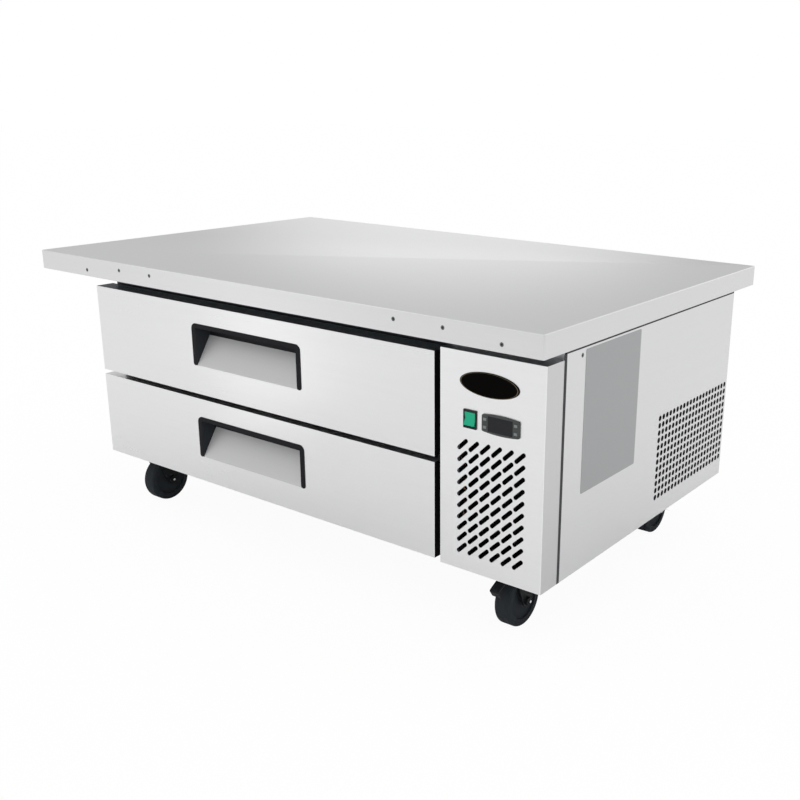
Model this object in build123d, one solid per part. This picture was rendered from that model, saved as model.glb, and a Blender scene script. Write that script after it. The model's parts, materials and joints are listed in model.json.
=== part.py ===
from build123d import *
import math
import os

# Refrigerated chef base: a low cabinet with two cold drawers, a side machine compartment and a wide
# steel worktop, standing on four swivel casters.
# Millimetres. X runs to the right, Y to the back and Z up. The origin is on the floor, under the middle
# of the worktop, and the drawer fronts face -Y.

os.makedirs("parts", exist_ok=True)

# Overall sizes
worktop_width = 1331.0
worktop_depth = 838.0
overall_height = 560.0
caster_height = 118.0
apron_height = 40.5
left_overhang = 177.7
front_overhang = 11.3
rear_overhang = 104.5

# Drawer fronts and machine panel, as they divide the front
front_depth = 51.7
drawer_top_gap = 21.0
drawer_gap = 10.3
drawer_bottom_gap = 3.8
upper_front_share = 0.5087
panel_width = 209.3
panel_top_gap = 11.9
panel_side_gap = 12.4

# Sheet thicknesses and wall build-up
worktop_sheet = 1.5
base_sheet = 1.5
skin_sheet = 1.0
frame_sheet = 1.5
wall_side = 50.0
wall_rear = 50.0
wall_floor = 40.5
wall_roof = 46.5

# Clearances that mating pieces share
fit = 0.15
running_fit = 0.05
moving_gap = 0.3
cut_overrun = 5.0

# Places worked out from those sizes
worktop_left = -worktop_width / 2
worktop_right = worktop_width / 2
worktop_front = -worktop_depth / 2
worktop_rear = worktop_depth / 2
apron_bottom = overall_height - apron_height
core_bottom = apron_bottom + worktop_sheet
cabinet_left = worktop_left + left_overhang
cabinet_right = worktop_right
front_plane = worktop_front + front_overhang
face_plane = front_plane + front_depth
cabinet_rear = worktop_rear - rear_overhang
base_top = caster_height + base_sheet
panel_left = cabinet_right - panel_width
panel_top = apron_bottom - panel_top_gap
divider = panel_left - panel_side_gap
upper_front_top = apron_bottom - drawer_top_gap
lower_front_bottom = caster_height + drawer_bottom_gap
fronts_height = upper_front_top - lower_front_bottom - drawer_gap
upper_front_bottom = upper_front_top - upper_front_share * fronts_height
lower_front_top = upper_front_bottom - drawer_gap
room_left = cabinet_left + wall_side
room_right = divider - wall_side
room_rear = cabinet_rear - wall_rear
room_floor = base_top + wall_floor
room_roof = core_bottom - wall_roof
room_height = room_roof - room_floor
room_depth = room_rear - face_plane
cabinet_depth = cabinet_rear - face_plane


def block(x_low, x_high, y_low, y_high, z_low, z_high):
    """A rectangular block between two places along each axis."""
    middle = Pos((x_low + x_high) / 2, (y_low + y_high) / 2, (z_low + z_high) / 2)
    return middle * Box(x_high - x_low, y_high - y_low, z_high - z_low)


def facing_front(x, y, z):
    """A drawing plane seen from the front: its x runs right, its y up, and its normal to -Y."""
    return Plane(origin=(x, y, z), x_dir=(1, 0, 0), z_dir=(0, -1, 0))


def facing_rear(x, y, z):
    """A drawing plane seen from behind: its y runs up and its normal to +Y."""
    return Plane(origin=(x, y, z), x_dir=(-1, 0, 0), z_dir=(0, 1, 0))


def facing_right(x, y, z):
    """A drawing plane seen from the right: its x runs to the back, its y up, and its normal to +X."""
    return Plane(origin=(x, y, z), x_dir=(0, 1, 0), z_dir=(1, 0, 0))


def rounded(shape, axis, radius):
    """The shape with its edges along one axis rounded."""
    return fillet(shape.edges().filter_by(axis), radius)


def upright(x, y, z, radius, height):
    """A round bar that stands on the place given."""
    return Pos(x, y, z) * Cylinder(radius, height, align=(Align.CENTER, Align.CENTER, Align.MIN))


def bar(plane, radius, length):
    """A round bar that leaves a plane's origin along its normal."""
    return plane * Cylinder(radius, length, align=(Align.CENTER, Align.CENTER, Align.MIN))


def save(name, *shapes):
    """Writes one node, as one solid or as a group of separate solids."""
    solids = [solid for shape in shapes for solid in shape.solids()]
    node = solids[0] if len(solids) == 1 else Compound(solids)
    export_step(node, os.path.join("parts", name + ".step"))


# Nuts have six sides.
hexagon_sides = 6

# Countersunk screws
# One size holds the worktop's apron, the front panel, the side panel and the rear panel.
screw_head_radius = 3.8
screw_head_height = 1.8
screw_shank_radius = 2.0
screw_length = 14.0


def screw_shape(plane, growth=0.0):
    """A screw whose flat head is flush with a plane and whose shank runs along its normal."""
    head = Cone(
        screw_head_radius + growth,
        screw_shank_radius + growth,
        screw_head_height,
        align=(Align.CENTER, Align.CENTER, Align.MIN),
    )
    shank = Cylinder(
        screw_shank_radius + growth,
        screw_length + growth,
        align=(Align.CENTER, Align.CENTER, Align.MIN),
    )
    return plane * (head + shank)


# Worktop
# A steel tray turned down to an apron all round, with a narrow lip turned in underneath, bonded
# over a board that fills it.
apron_lip = 12.0
worktop_corner_radius = 3.0
worktop_edge_radius = 2.0
apron_screw_x_shares = (0.125, 0.21, 0.285, 0.774, 0.853, 0.941)
apron_screw_drop_shares = (0.67, 0.41, 0.41, 0.41, 0.41, 0.67)


def apron_screw_planes():
    """Where the six screws enter the front apron."""
    planes = []
    for x_share, drop_share in zip(apron_screw_x_shares, apron_screw_drop_shares):
        x = worktop_left + x_share * worktop_width
        z = overall_height - drop_share * apron_height
        planes.append(Plane(origin=(x, worktop_front, z), x_dir=(1, 0, 0), z_dir=(0, 1, 0)))
    return planes


def worktop_skin():
    tray = block(
        worktop_left, worktop_right, worktop_front, worktop_rear, apron_bottom, overall_height
    )
    tray = rounded(tray, Axis.Z, worktop_corner_radius)
    tray = fillet(tray.faces().sort_by(Axis.Z)[-1].edges(), worktop_edge_radius)
    tray -= block(
        worktop_left + worktop_sheet,
        worktop_right - worktop_sheet,
        worktop_front + worktop_sheet,
        worktop_rear - worktop_sheet,
        core_bottom,
        overall_height - worktop_sheet,
    )
    tray -= block(
        worktop_left + worktop_sheet + apron_lip,
        worktop_right - worktop_sheet - apron_lip,
        worktop_front + worktop_sheet + apron_lip,
        worktop_rear - worktop_sheet - apron_lip,
        apron_bottom - cut_overrun,
        core_bottom + cut_overrun,
    )
    for plane in apron_screw_planes():
        tray -= screw_shape(plane, fit)
    return tray


def worktop_core():
    core = block(
        worktop_left + worktop_sheet,
        worktop_right - worktop_sheet,
        worktop_front + worktop_sheet,
        worktop_rear - worktop_sheet,
        core_bottom,
        overall_height - worktop_sheet,
    )
    for plane in apron_screw_planes():
        core -= screw_shape(plane, fit)
    return core


# Caster places
# Each caster swivels about an upright kingpin, and its wheel trails behind it, here to the front.
caster_inset_left = 76.0
caster_inset_right = 99.0
caster_inset_front = 66.0
caster_inset_rear = 89.5
caster_trail = 36.0
caster_bolt_spacing_x = 50.0
caster_bolt_spacing_y = 75.0
caster_bolt_radius = 4.0

caster_left_x = cabinet_left + caster_inset_left
caster_right_x = cabinet_right - caster_inset_right
caster_front_y = face_plane + caster_inset_front
caster_rear_y = cabinet_rear - caster_inset_rear
caster_places = {
    "front_left": (caster_left_x, caster_front_y),
    "front_right": (caster_right_x, caster_front_y),
    "rear_left": (caster_left_x, caster_rear_y),
    "rear_right": (caster_right_x, caster_rear_y),
}


def caster_bolt_places(x, y):
    """The four bolt places round one caster."""
    corners = GridLocations(caster_bolt_spacing_x, caster_bolt_spacing_y, 2, 2)
    return [(x + corner.position.X, y + corner.position.Y) for corner in corners]


# Base plate
# A thick sheet under the whole cabinet with a nut pad welded on above each caster, and a tongue at the
# front of the machine compartment that carries the panel.
nut_pad_width = 80.0
nut_pad_depth = 100.0
nut_pad_height = 7.0
tongue_inset = 14.0
tongue_length = 44.0
tongue_overlap = 16.0
panel_screw_inset = 30.0


def nut_pad(x, y, growth=0.0):
    """The pad that takes one caster's bolts."""
    return block(
        x - nut_pad_width / 2 - growth,
        x + nut_pad_width / 2 + growth,
        y - nut_pad_depth / 2 - growth,
        y + nut_pad_depth / 2 + growth,
        base_top,
        base_top + nut_pad_height + growth,
    )


def panel_screw_planes():
    """Where two screws enter the panel's lower return from below."""
    y = face_plane - tongue_length / 2
    places = (panel_left + panel_screw_inset, cabinet_right - panel_screw_inset)
    return [Plane(origin=(x, y, caster_height), z_dir=(0, 0, 1)) for x in places]


def base_plate():
    plate = block(
        cabinet_left, cabinet_right - skin_sheet, face_plane, cabinet_rear, caster_height, base_top
    )
    plate += block(
        panel_left + tongue_inset,
        cabinet_right - tongue_inset - frame_width,
        face_plane - tongue_length,
        face_plane + tongue_overlap,
        caster_height + skin_sheet,
        caster_height + skin_sheet + base_sheet,
    )
    for x, y in caster_places.values():
        plate += nut_pad(x, y)
    for x, y in caster_places.values():
        for bolt_x, bolt_y in caster_bolt_places(x, y):
            plate -= upright(
                bolt_x,
                bolt_y,
                caster_height - cut_overrun,
                caster_bolt_radius + fit,
                base_sheet + nut_pad_height + 2 * cut_overrun,
            )
    for plane in panel_screw_planes():
        plate -= screw_shape(plane, fit)
    return plate


# Lines that pass through the divider wall
# The refrigerant lines share one port high up and the drain has its own near the floor.
line_port_radius = 18.0
line_depth_share = 0.8516
line_height_share = 0.6677
drain_port_radius = 8.0
drain_depth_share = 0.7547
drain_lift = 12.0
line_port_y = face_plane + line_depth_share * cabinet_depth
line_height = room_floor + line_height_share * room_height
drain_port_y = face_plane + drain_depth_share * cabinet_depth
drain_height = room_floor + drain_lift


def wall_ports():
    """The two round passages from the machine compartment to the cold room."""
    x = room_right - cut_overrun - skin_sheet
    length = wall_side + skin_sheet + 2 * cut_overrun
    ports = bar(facing_right(x, line_port_y, line_height), line_port_radius, length)
    ports += bar(facing_right(x, drain_port_y, drain_height), drain_port_radius, length)
    return ports


# Cold box
# An outer steel casing and an inner steel liner, both open at the front, with rigid foam between them.
breaker_depth = 6.0
mullion_height = 36.0
mullion_depth = 36.0
mullion_middle = (upper_front_bottom + lower_front_top) / 2


def cabinet_casing():
    casing = block(cabinet_left, divider, face_plane, cabinet_rear, base_top, core_bottom)
    casing -= block(
        cabinet_left + skin_sheet,
        divider - skin_sheet,
        face_plane - cut_overrun,
        cabinet_rear - skin_sheet,
        base_top + skin_sheet,
        core_bottom - skin_sheet,
    )
    casing -= wall_ports()
    for x, y in caster_places.values():
        casing -= nut_pad(x, y, fit)
    return casing


def cabinet_liner():
    liner = block(
        room_left - skin_sheet,
        room_right + skin_sheet,
        face_plane + breaker_depth,
        room_rear + skin_sheet,
        room_floor - skin_sheet,
        room_roof + skin_sheet,
    )
    liner -= block(
        room_left,
        room_right,
        face_plane - cut_overrun,
        room_rear,
        room_floor,
        room_roof,
    )
    liner -= wall_ports()
    return liner


def cabinet_insulation():
    foam = block(
        cabinet_left + skin_sheet,
        divider - skin_sheet,
        face_plane + breaker_depth,
        cabinet_rear - skin_sheet,
        base_top + skin_sheet,
        core_bottom - skin_sheet,
    )
    foam -= block(
        room_left - skin_sheet,
        room_right + skin_sheet,
        face_plane - cut_overrun,
        room_rear + skin_sheet,
        room_floor - skin_sheet,
        room_roof + skin_sheet,
    )
    foam -= wall_ports()
    for x, y in caster_places.values():
        foam -= nut_pad(x, y, fit)
    return foam


def breaker_frame():
    """The plastic frame that closes the foam's front edge, with the bar between the two drawers."""
    ring = block(
        cabinet_left + skin_sheet,
        divider - skin_sheet,
        face_plane,
        face_plane + breaker_depth,
        base_top + skin_sheet,
        core_bottom - skin_sheet,
    )
    ring -= block(
        room_left,
        room_right,
        face_plane - cut_overrun,
        face_plane + breaker_depth + cut_overrun,
        room_floor,
        room_roof,
    )
    bar_low = mullion_middle - mullion_height / 2
    bar_high = mullion_middle + mullion_height / 2
    thin_bar = block(room_left, room_right, face_plane, face_plane + breaker_depth, bar_low, bar_high)
    deep_bar = block(
        room_left, cover_left - moving_gap, face_plane, face_plane + mullion_depth, bar_low, bar_high
    )
    return ring + thin_bar + deep_bar


# Drawer slides
# Three channels run in one another: one is fixed to the cabinet, one travels half way and one is
# fixed to the drawer.
slide_height = 46.0
slide_thickness = 13.5
slide_sheet = 1.5
slide_clearance = 0.4
slide_front_gap = 10.0
slide_rear_gap = 60.5
slide_step = slide_sheet + slide_clearance
slide_front = face_plane + slide_front_gap
slide_length = room_rear - slide_rear_gap - slide_front


def channel(wall_x, inward, near, far, height, middle_z):
    """A channel whose web is at near and whose flanges reach far, both from a wall, going inward."""
    near_x = wall_x + inward * near
    far_x = wall_x + inward * far
    web_x = near_x + inward * slide_sheet
    low_x, high_x = sorted((near_x, far_x))
    outer = block(
        low_x,
        high_x,
        slide_front,
        slide_front + slide_length,
        middle_z - height / 2,
        middle_z + height / 2,
    )
    hollow_end = far_x + inward * cut_overrun
    hollow_low, hollow_high = sorted((web_x, hollow_end))
    return outer - block(
        hollow_low,
        hollow_high,
        slide_front - cut_overrun,
        slide_front + slide_length + cut_overrun,
        middle_z - height / 2 + slide_sheet,
        middle_z + height / 2 - slide_sheet,
    )


def fixed_channel(wall_x, inward, middle_z):
    return channel(wall_x, inward, 0, slide_thickness - slide_step, slide_height, middle_z)


def middle_channel(wall_x, inward, middle_z):
    height = slide_height - 2 * slide_step
    return channel(wall_x, inward, slide_step, slide_thickness - slide_step, height, middle_z)


def drawer_channel(wall_x, inward, middle_z):
    height = slide_height - 2 * slide_step - 2 * slide_step
    side_x = wall_x + inward * slide_thickness
    return channel(side_x, -inward, 0, slide_thickness - 2 * slide_step, height, middle_z)


# Pan frame
# A welded frame between the slides that holds two food pans by their rims. Each bay is 307 by 512, which
# leaves a full-size pan of 325 by 530 a rim of 9 all round.
evaporator_bay_width = 134.6
gasket_height = 10.0
pan_ledge = 14.0
pan_divider = 28.0
pan_frame_height = 60.0
pan_headroom = 10.0
pan_rear_gap = 90.8
cover_left = room_right - evaporator_bay_width
front_back = face_plane - moving_gap - gasket_height
pan_frame_left = room_left + slide_thickness
pan_frame_right = cover_left - slide_thickness
pan_frame_length = room_rear - pan_rear_gap - front_back
pan_bay_width = (pan_frame_right - pan_frame_left - pan_divider) / 2 - pan_ledge
pan_bay_length = pan_frame_length - 2 * pan_ledge

# Drawer front
front_liner_sheet = 1.5
front_edge_radius = 0.8
upper_frame_top = room_roof - pan_headroom
lower_frame_top = mullion_middle - mullion_height / 2 - pan_headroom


def frame_middle(frame_top):
    """The height at which a drawer's slides run."""
    return frame_top - pan_frame_height / 2


def pan_frame(frame_top):
    frame_bottom = frame_top - pan_frame_height
    frame = block(
        pan_frame_left, pan_frame_right, front_back, front_back + pan_frame_length, frame_bottom,
        frame_top,
    )
    hollow = block(
        pan_frame_left + frame_sheet,
        pan_frame_right - frame_sheet,
        front_back + frame_sheet,
        front_back + pan_frame_length - frame_sheet,
        frame_bottom - cut_overrun,
        frame_top - frame_sheet,
    )
    middle_x = (pan_frame_left + pan_frame_right) / 2
    bar_low = frame_top - pan_frame_height / 2
    for side in (-1, 1):
        web_x = middle_x + side * (pan_divider - frame_sheet) / 2
        hollow -= block(
            web_x - frame_sheet / 2,
            web_x + frame_sheet / 2,
            front_back,
            front_back + pan_frame_length,
            bar_low,
            frame_top,
        )
    frame -= hollow
    for side in (-1, 1):
        bay_x = middle_x + side * (pan_divider + pan_bay_width) / 2
        frame -= block(
            bay_x - pan_bay_width / 2,
            bay_x + pan_bay_width / 2,
            front_back + pan_ledge,
            front_back + pan_ledge + pan_bay_length,
            frame_top - frame_sheet - cut_overrun,
            frame_top + cut_overrun,
        )
    return frame


# Pull handle
# A black plastic bezel round three sides of a pocket, over a sloping steel plate that rises from the
# drawer's face to the back of the pocket.
handle_width = 306.0
handle_shift = -3.0
handle_height = 87.5
handle_drop = 38.5
handle_side_rim = 11.2
handle_top_rim = 9.0
handle_leg_tail = 2.5
handle_corner_radius = 12.0
handle_proud = 1.2
handle_edge_radius = 0.5
handle_wall = 1.6
pocket_depth = 35.5
scoop_rise = 55.0
scoop_sheet = 1.0
handle_x = (cabinet_left + divider) / 2 + handle_shift
pocket_half = handle_width / 2 - handle_side_rim
scoop_edge = scoop_sheet * math.hypot(pocket_depth, scoop_rise) / pocket_depth


def pocket_profile(handle_top, growth, depth_growth, front):
    """The pocket's side view, from a front place back, grown by a wall or a clearance."""
    low = handle_top - handle_height + handle_leg_tail
    high = handle_top - handle_top_rim
    depth = pocket_depth + depth_growth
    rise = scoop_rise * depth / pocket_depth
    return Polyline(
        (front, low - growth),
        (front_plane, low - growth),
        (front_plane + depth, low + rise - growth),
        (front_plane + depth, high + depth_growth),
        (front, high + depth_growth),
        close=True,
    )


def pocket_block(handle_top, half_width, growth, depth_growth, front):
    """The pocket as a solid, across the handle's middle."""
    plane = facing_right(handle_x - half_width, 0, 0)
    profile = make_face(pocket_profile(handle_top, growth, depth_growth, front))
    return extrude(plane * profile, amount=2 * half_width)


def handle_frame(handle_top):
    bottom = handle_top - handle_height
    high = handle_top - handle_top_rim
    rim = block(
        handle_x - handle_width / 2,
        handle_x + handle_width / 2,
        front_plane - handle_proud,
        front_plane,
        bottom,
        handle_top,
    )
    corners = rim.edges().filter_by(Axis.Y)
    rim = fillet(corners.group_by(Axis.Z)[-1], handle_corner_radius)
    rim -= block(
        handle_x - pocket_half,
        handle_x + pocket_half,
        front_plane - handle_proud - cut_overrun,
        front_plane + cut_overrun,
        bottom - cut_overrun,
        high,
    )
    leg_ends = rim.edges().filter_by(Axis.Y).group_by(Axis.Z)[0]
    rim = fillet(leg_ends, handle_side_rim / 2 - handle_edge_radius)
    front_edges = rim.faces().sort_by(Axis.Y)[0].edges()
    rim = fillet(front_edges, handle_edge_radius)
    rim_middle = front_plane - handle_proud / 2
    shell = pocket_block(handle_top, pocket_half + handle_wall, scoop_edge, handle_wall, rim_middle)
    shell -= pocket_block(handle_top, pocket_half, scoop_edge, 0, front_plane - cut_overrun)
    return rim + shell


def handle_scoop(handle_top):
    low = handle_top - handle_height + handle_leg_tail
    back = front_plane + pocket_depth
    profile = Polyline(
        (front_plane, low),
        (back, low + scoop_rise),
        (back, low + scoop_rise - scoop_edge),
        (front_plane, low - scoop_edge),
        close=True,
    )
    half = pocket_half - fit
    return extrude(facing_right(handle_x - half, 0, 0) * make_face(profile), amount=2 * half)


def drawer_skin(front_bottom, front_top):
    skin = block(cabinet_left, divider, front_plane, front_back, front_bottom, front_top)
    skin = fillet(skin.faces().sort_by(Axis.Y)[0].edges(), front_edge_radius)
    skin -= block(
        cabinet_left + skin_sheet,
        divider - skin_sheet,
        front_plane + skin_sheet,
        front_back + cut_overrun,
        front_bottom + skin_sheet,
        front_top - skin_sheet,
    )
    handle_top = front_top - handle_drop
    window_low = handle_top - handle_height + handle_leg_tail - scoop_edge - fit
    skin -= block(
        handle_x - pocket_half - handle_wall - fit,
        handle_x + pocket_half + handle_wall + fit,
        front_plane - cut_overrun,
        front_plane + skin_sheet + cut_overrun,
        window_low,
        handle_top - handle_top_rim + handle_wall + fit,
    )
    return skin


def drawer_foam(front_bottom, front_top):
    foam = block(
        cabinet_left + skin_sheet,
        divider - skin_sheet,
        front_plane + skin_sheet,
        front_back - front_liner_sheet,
        front_bottom + skin_sheet,
        front_top - skin_sheet,
    )
    return foam - pocket_block(
        front_top - handle_drop,
        pocket_half + handle_wall + fit,
        scoop_edge + fit,
        handle_wall + fit,
        front_plane - cut_overrun,
    )


def drawer_liner(front_bottom, front_top):
    return block(
        cabinet_left + skin_sheet,
        divider - skin_sheet,
        front_back - front_liner_sheet,
        front_back,
        front_bottom + skin_sheet,
        front_top - skin_sheet,
    )


# Drawer gasket
# A magnetic seal: a wide base held on the drawer's back and a narrower bellows that meets the cabinet.
gasket_inset = 1.5
gasket_base_width = 11.0
gasket_base_height = 3.0
gasket_lip_width = 8.0


def frame_ring(inset, width, y_low, y_high, front_bottom, front_top):
    """A rectangular ring inside the drawer front's outline."""
    ring = block(
        cabinet_left + inset,
        divider - inset,
        y_low,
        y_high,
        front_bottom + inset,
        front_top - inset,
    )
    return ring - block(
        cabinet_left + inset + width,
        divider - inset - width,
        y_low - cut_overrun,
        y_high + cut_overrun,
        front_bottom + inset + width,
        front_top - inset - width,
    )


def drawer_gasket(front_bottom, front_top):
    base_end = front_back + gasket_base_height
    lip_inset = gasket_inset + (gasket_base_width - gasket_lip_width) / 2
    base = frame_ring(
        gasket_inset, gasket_base_width, front_back, base_end, front_bottom, front_top
    )
    lip = frame_ring(
        lip_inset, gasket_lip_width, base_end, front_back + gasket_height, front_bottom, front_top
    )
    return base + lip


# Machine frame
# Corner posts and top rails of folded sheet that carry the panels and the worktop's right end.
frame_width = 15.0


def angle_post(x_corner, y_corner, x_way, y_way, z_low, z_high):
    """An upright angle whose outer corner is at a place and whose two legs go inward."""
    x_ends = sorted((x_corner, x_corner + x_way * frame_width))
    y_ends = sorted((y_corner, y_corner + y_way * frame_width))
    x_thin = sorted((x_corner, x_corner + x_way * frame_sheet))
    y_thin = sorted((y_corner, y_corner + y_way * frame_sheet))
    post = block(*x_thin, *y_ends, z_low, z_high)
    return post + block(*x_ends, *y_thin, z_low, z_high)


def machine_frame():
    right = cabinet_right - skin_sheet
    rear = cabinet_rear - skin_sheet
    rail_top = apron_bottom - moving_gap
    frame = angle_post(divider, face_plane, 1, 1, base_top, rail_top)
    frame += angle_post(right, face_plane, -1, 1, base_top, rail_top)
    frame += angle_post(divider, rear, 1, -1, base_top, rail_top)
    frame += angle_post(right, rear, -1, -1, base_top, rail_top)
    rail_low = rail_top - frame_width
    frame += block(divider, right, face_plane, face_plane + frame_sheet, rail_low, rail_top)
    frame += block(divider, right, rear - frame_sheet, rear, rail_low, rail_top)
    frame += block(right - frame_sheet, right, face_plane, rear, rail_low, rail_top)
    frame += block(right - frame_width, right, face_plane, rear, rail_top - frame_sheet, rail_top)
    for plane in side_screw_planes() + rear_screw_planes():
        frame -= screw_shape(plane, fit)
    return frame


# Side panel
# One flat sheet over the machine compartment's right side, with a field of round holes near the back.
side_panel_seam = 5.0
side_panel_top_gap = 3.0
perforation_radius = 5.8
perforation_columns = 21
perforation_rows = 12
perforation_pitch_y = 15.1
perforation_pitch_z = 14.7
perforation_rear_inset = 11.0
perforation_bottom_inset = 42.0
side_screw_inset = 49.4
side_screw_drop = 11.4
rear_return = 12.0


def side_screw_planes():
    """The one screw that shows on the side panel."""
    y = face_plane + side_panel_seam + side_screw_inset
    z = apron_bottom - side_panel_top_gap - side_screw_drop
    return [Plane(origin=(cabinet_right, y, z), x_dir=(0, 1, 0), z_dir=(-1, 0, 0))]


def side_panel():
    top = apron_bottom - side_panel_top_gap
    panel = block(
        cabinet_right - skin_sheet,
        cabinet_right,
        face_plane + side_panel_seam,
        cabinet_rear,
        caster_height,
        top,
    )
    panel += block(
        cabinet_right - rear_return,
        cabinet_right,
        cabinet_rear - skin_sheet,
        cabinet_rear,
        base_top,
        top,
    )
    field_y = cabinet_rear - perforation_rear_inset - (perforation_columns - 1) * perforation_pitch_y / 2
    field_z = caster_height + perforation_bottom_inset + (perforation_rows - 1) * perforation_pitch_z / 2
    plane = facing_right(cabinet_right - skin_sheet - cut_overrun, field_y, field_z)
    grid = GridLocations(
        perforation_pitch_y, perforation_pitch_z, perforation_columns, perforation_rows
    )
    holes = Sketch() + [place * Circle(perforation_radius) for place in grid]
    panel -= extrude(plane * holes, amount=skin_sheet + 2 * cut_overrun)
    for plane in side_screw_planes() + rear_screw_planes():
        panel -= screw_shape(plane, fit)
    return panel


# Rear panel
# The sheet behind the machine compartment, with upright louvre slots and the power cord's gland.
rear_panel_gap = 0.5
rear_slot_length = 90.0
rear_slot_width = 6.0
rear_slot_columns = 9
rear_slot_rows = 2
rear_slot_pitch_x = 17.0
rear_slot_pitch_z = 110.0
rear_slot_height_share = 0.6
rear_screw_height_shares = (0.06, 0.5, 0.94)


def rear_screw_planes():
    """The screws in the two upright edges at the back of the machine compartment."""
    right_x = cabinet_right - rear_return + rear_return / 2
    left_x = divider + frame_width / 2
    span = apron_bottom - side_panel_top_gap - base_top
    planes = []
    for share in rear_screw_height_shares:
        z = base_top + share * span
        for x in (left_x, right_x):
            planes.append(Plane(origin=(x, cabinet_rear, z), x_dir=(1, 0, 0), z_dir=(0, -1, 0)))
    return planes


# Power cord gland
gland_inset = 45.0
gland_height = 34.0
gland_bore_radius = 4.5
gland_shank_radius = 8.0
gland_flange_radius = 12.0
gland_flange_height = 4.0
gland_nut_radius = 9.5
gland_nut_length = 14.0
gland_shank_length = 10.0
gland_x = cabinet_right - gland_inset
gland_z = base_top + gland_height


def rear_panel():
    top = apron_bottom - side_panel_top_gap
    panel = block(
        divider + rear_panel_gap,
        cabinet_right - rear_return - rear_panel_gap,
        cabinet_rear - skin_sheet,
        cabinet_rear,
        base_top + rear_panel_gap,
        top,
    )
    field_x = (divider + cabinet_right - rear_return) / 2
    field_z = base_top + rear_slot_height_share * (top - base_top)
    plane = facing_rear(field_x, cabinet_rear - skin_sheet - cut_overrun, field_z)
    grid = GridLocations(rear_slot_pitch_x, rear_slot_pitch_z, rear_slot_columns, rear_slot_rows)
    slots = Sketch() + [
        place * Rot(0, 0, 90) * SlotOverall(rear_slot_length, rear_slot_width) for place in grid
    ]
    panel -= extrude(plane * slots, amount=skin_sheet + 2 * cut_overrun)
    gland_hole = facing_rear(gland_x, cabinet_rear - skin_sheet - cut_overrun, gland_z)
    panel -= bar(gland_hole, gland_shank_radius + fit, skin_sheet + 2 * cut_overrun)
    for plane in rear_screw_planes():
        panel -= screw_shape(plane, fit)
    return panel


def cord_gland():
    """A gland with its flange and hexagon nut outside and its lock nut inside."""
    inner_face = cabinet_rear - skin_sheet
    outside = facing_rear(gland_x, cabinet_rear, gland_z)
    beyond_flange = facing_rear(gland_x, cabinet_rear + gland_flange_height, gland_z)
    inside = facing_rear(gland_x, inner_face - gland_shank_length, gland_z)
    lock_nut_place = facing_rear(gland_x, inner_face - gland_flange_height, gland_z)
    gland = bar(outside, gland_flange_radius, gland_flange_height)
    hexagon = beyond_flange * RegularPolygon(gland_nut_radius, hexagon_sides)
    gland += extrude(hexagon, amount=gland_nut_length)
    gland += bar(inside, gland_shank_radius, gland_shank_length + skin_sheet + gland_flange_height)
    total = gland_shank_length + skin_sheet + gland_flange_height + gland_nut_length
    bore = bar(
        facing_rear(gland_x, inner_face - gland_shank_length - cut_overrun, gland_z),
        gland_bore_radius,
        total + 2 * cut_overrun,
    )
    lock_nut_hexagon = lock_nut_place * RegularPolygon(gland_flange_radius, hexagon_sides)
    lock_nut = extrude(lock_nut_hexagon, amount=gland_flange_height)
    lock_nut -= bar(lock_nut_place, gland_shank_radius + running_fit, gland_flange_height)
    return gland - bore, lock_nut


# Front panel of the machine compartment
# A folded sheet tray with a field of slanted slots and cut-outs for the switch and the controller.
vent_slot_length = 28.0
vent_slot_width = 8.0
vent_slot_slant = 44.0
vent_columns = 6
vent_pitch_x = 23.06
vent_pitch_z = 20.9
vent_from_left = 105.3
vent_bottom_inset = 41.45
vent_top_inset = 45.0
controls_from_top = 113.0
controls_z = panel_top - controls_from_top
vent_span = controls_z - vent_top_inset - caster_height - vent_bottom_inset
vent_rows = int(vent_span / vent_pitch_z) + 1
vent_middle = caster_height + vent_bottom_inset + (vent_rows - 1) * vent_pitch_z / 2

# Rocker switch
switch_from_left = 63.1
switch_width = 27.0
switch_height = 32.5
switch_proud = 2.2
switch_body_width = 24.6
switch_body_height = 29.2
switch_body_depth = 22.0
switch_corner_radius = 1.2
rocker_width = 21.0
rocker_radius = 12.6
rocker_pivot_depth = 2.5
rocker_back = 4.0
rocker_valley = 3.2
rocker_rise = 6.5
rocker_tilt = 8.0
rocker_gap = 0.4
rocker_pin_radius = 1.5
rocker_pin_length = 1.0
terminal_width = 0.8
terminal_height = 6.3
terminal_length = 8.0
terminal_pitch = 7.0
switch_x = panel_left + switch_from_left
rocker_pivot_y = front_plane + rocker_pivot_depth

# Temperature controller
controller_from_left = 124.9
controller_width = 74.0
controller_end_height = 28.5
controller_bow = 2.75
controller_proud = 3.2
controller_body_width = 70.5
controller_body_height = 25.0
controller_body_depth = 55.0
controller_corner_radius = 3.0
controller_edge_radius = 1.0
window_width = 48.6
window_height = 26.0
window_depth = 1.2
button_width = 6.0
button_height = 4.6
button_proud = 0.9
button_gap = 0.2
button_flange = 0.6
button_flange_height = 0.6
button_travel = 0.8
button_slack = 0.8
button_spread = 30.4
button_rise = 6.8
bezel_sheet = 1.6
button_room = button_flange_height + button_travel + button_slack
controller_x = panel_left + controller_from_left
bezel_face = front_plane - controller_proud


def button_places():
    """The four keys, as name, x and z, left column first."""
    return (
        ("controller_key_set", controller_x - button_spread, controls_z + button_rise),
        ("controller_key_light", controller_x - button_spread, controls_z - button_rise),
        ("controller_key_up", controller_x + button_spread, controls_z + button_rise),
        ("controller_key_down", controller_x + button_spread, controls_z - button_rise),
    )


def across_panel(x, z, width, height, y_low, y_high):
    """A block centred on a place of the front panel."""
    return block(x - width / 2, x + width / 2, y_low, y_high, z - height / 2, z + height / 2)


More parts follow.
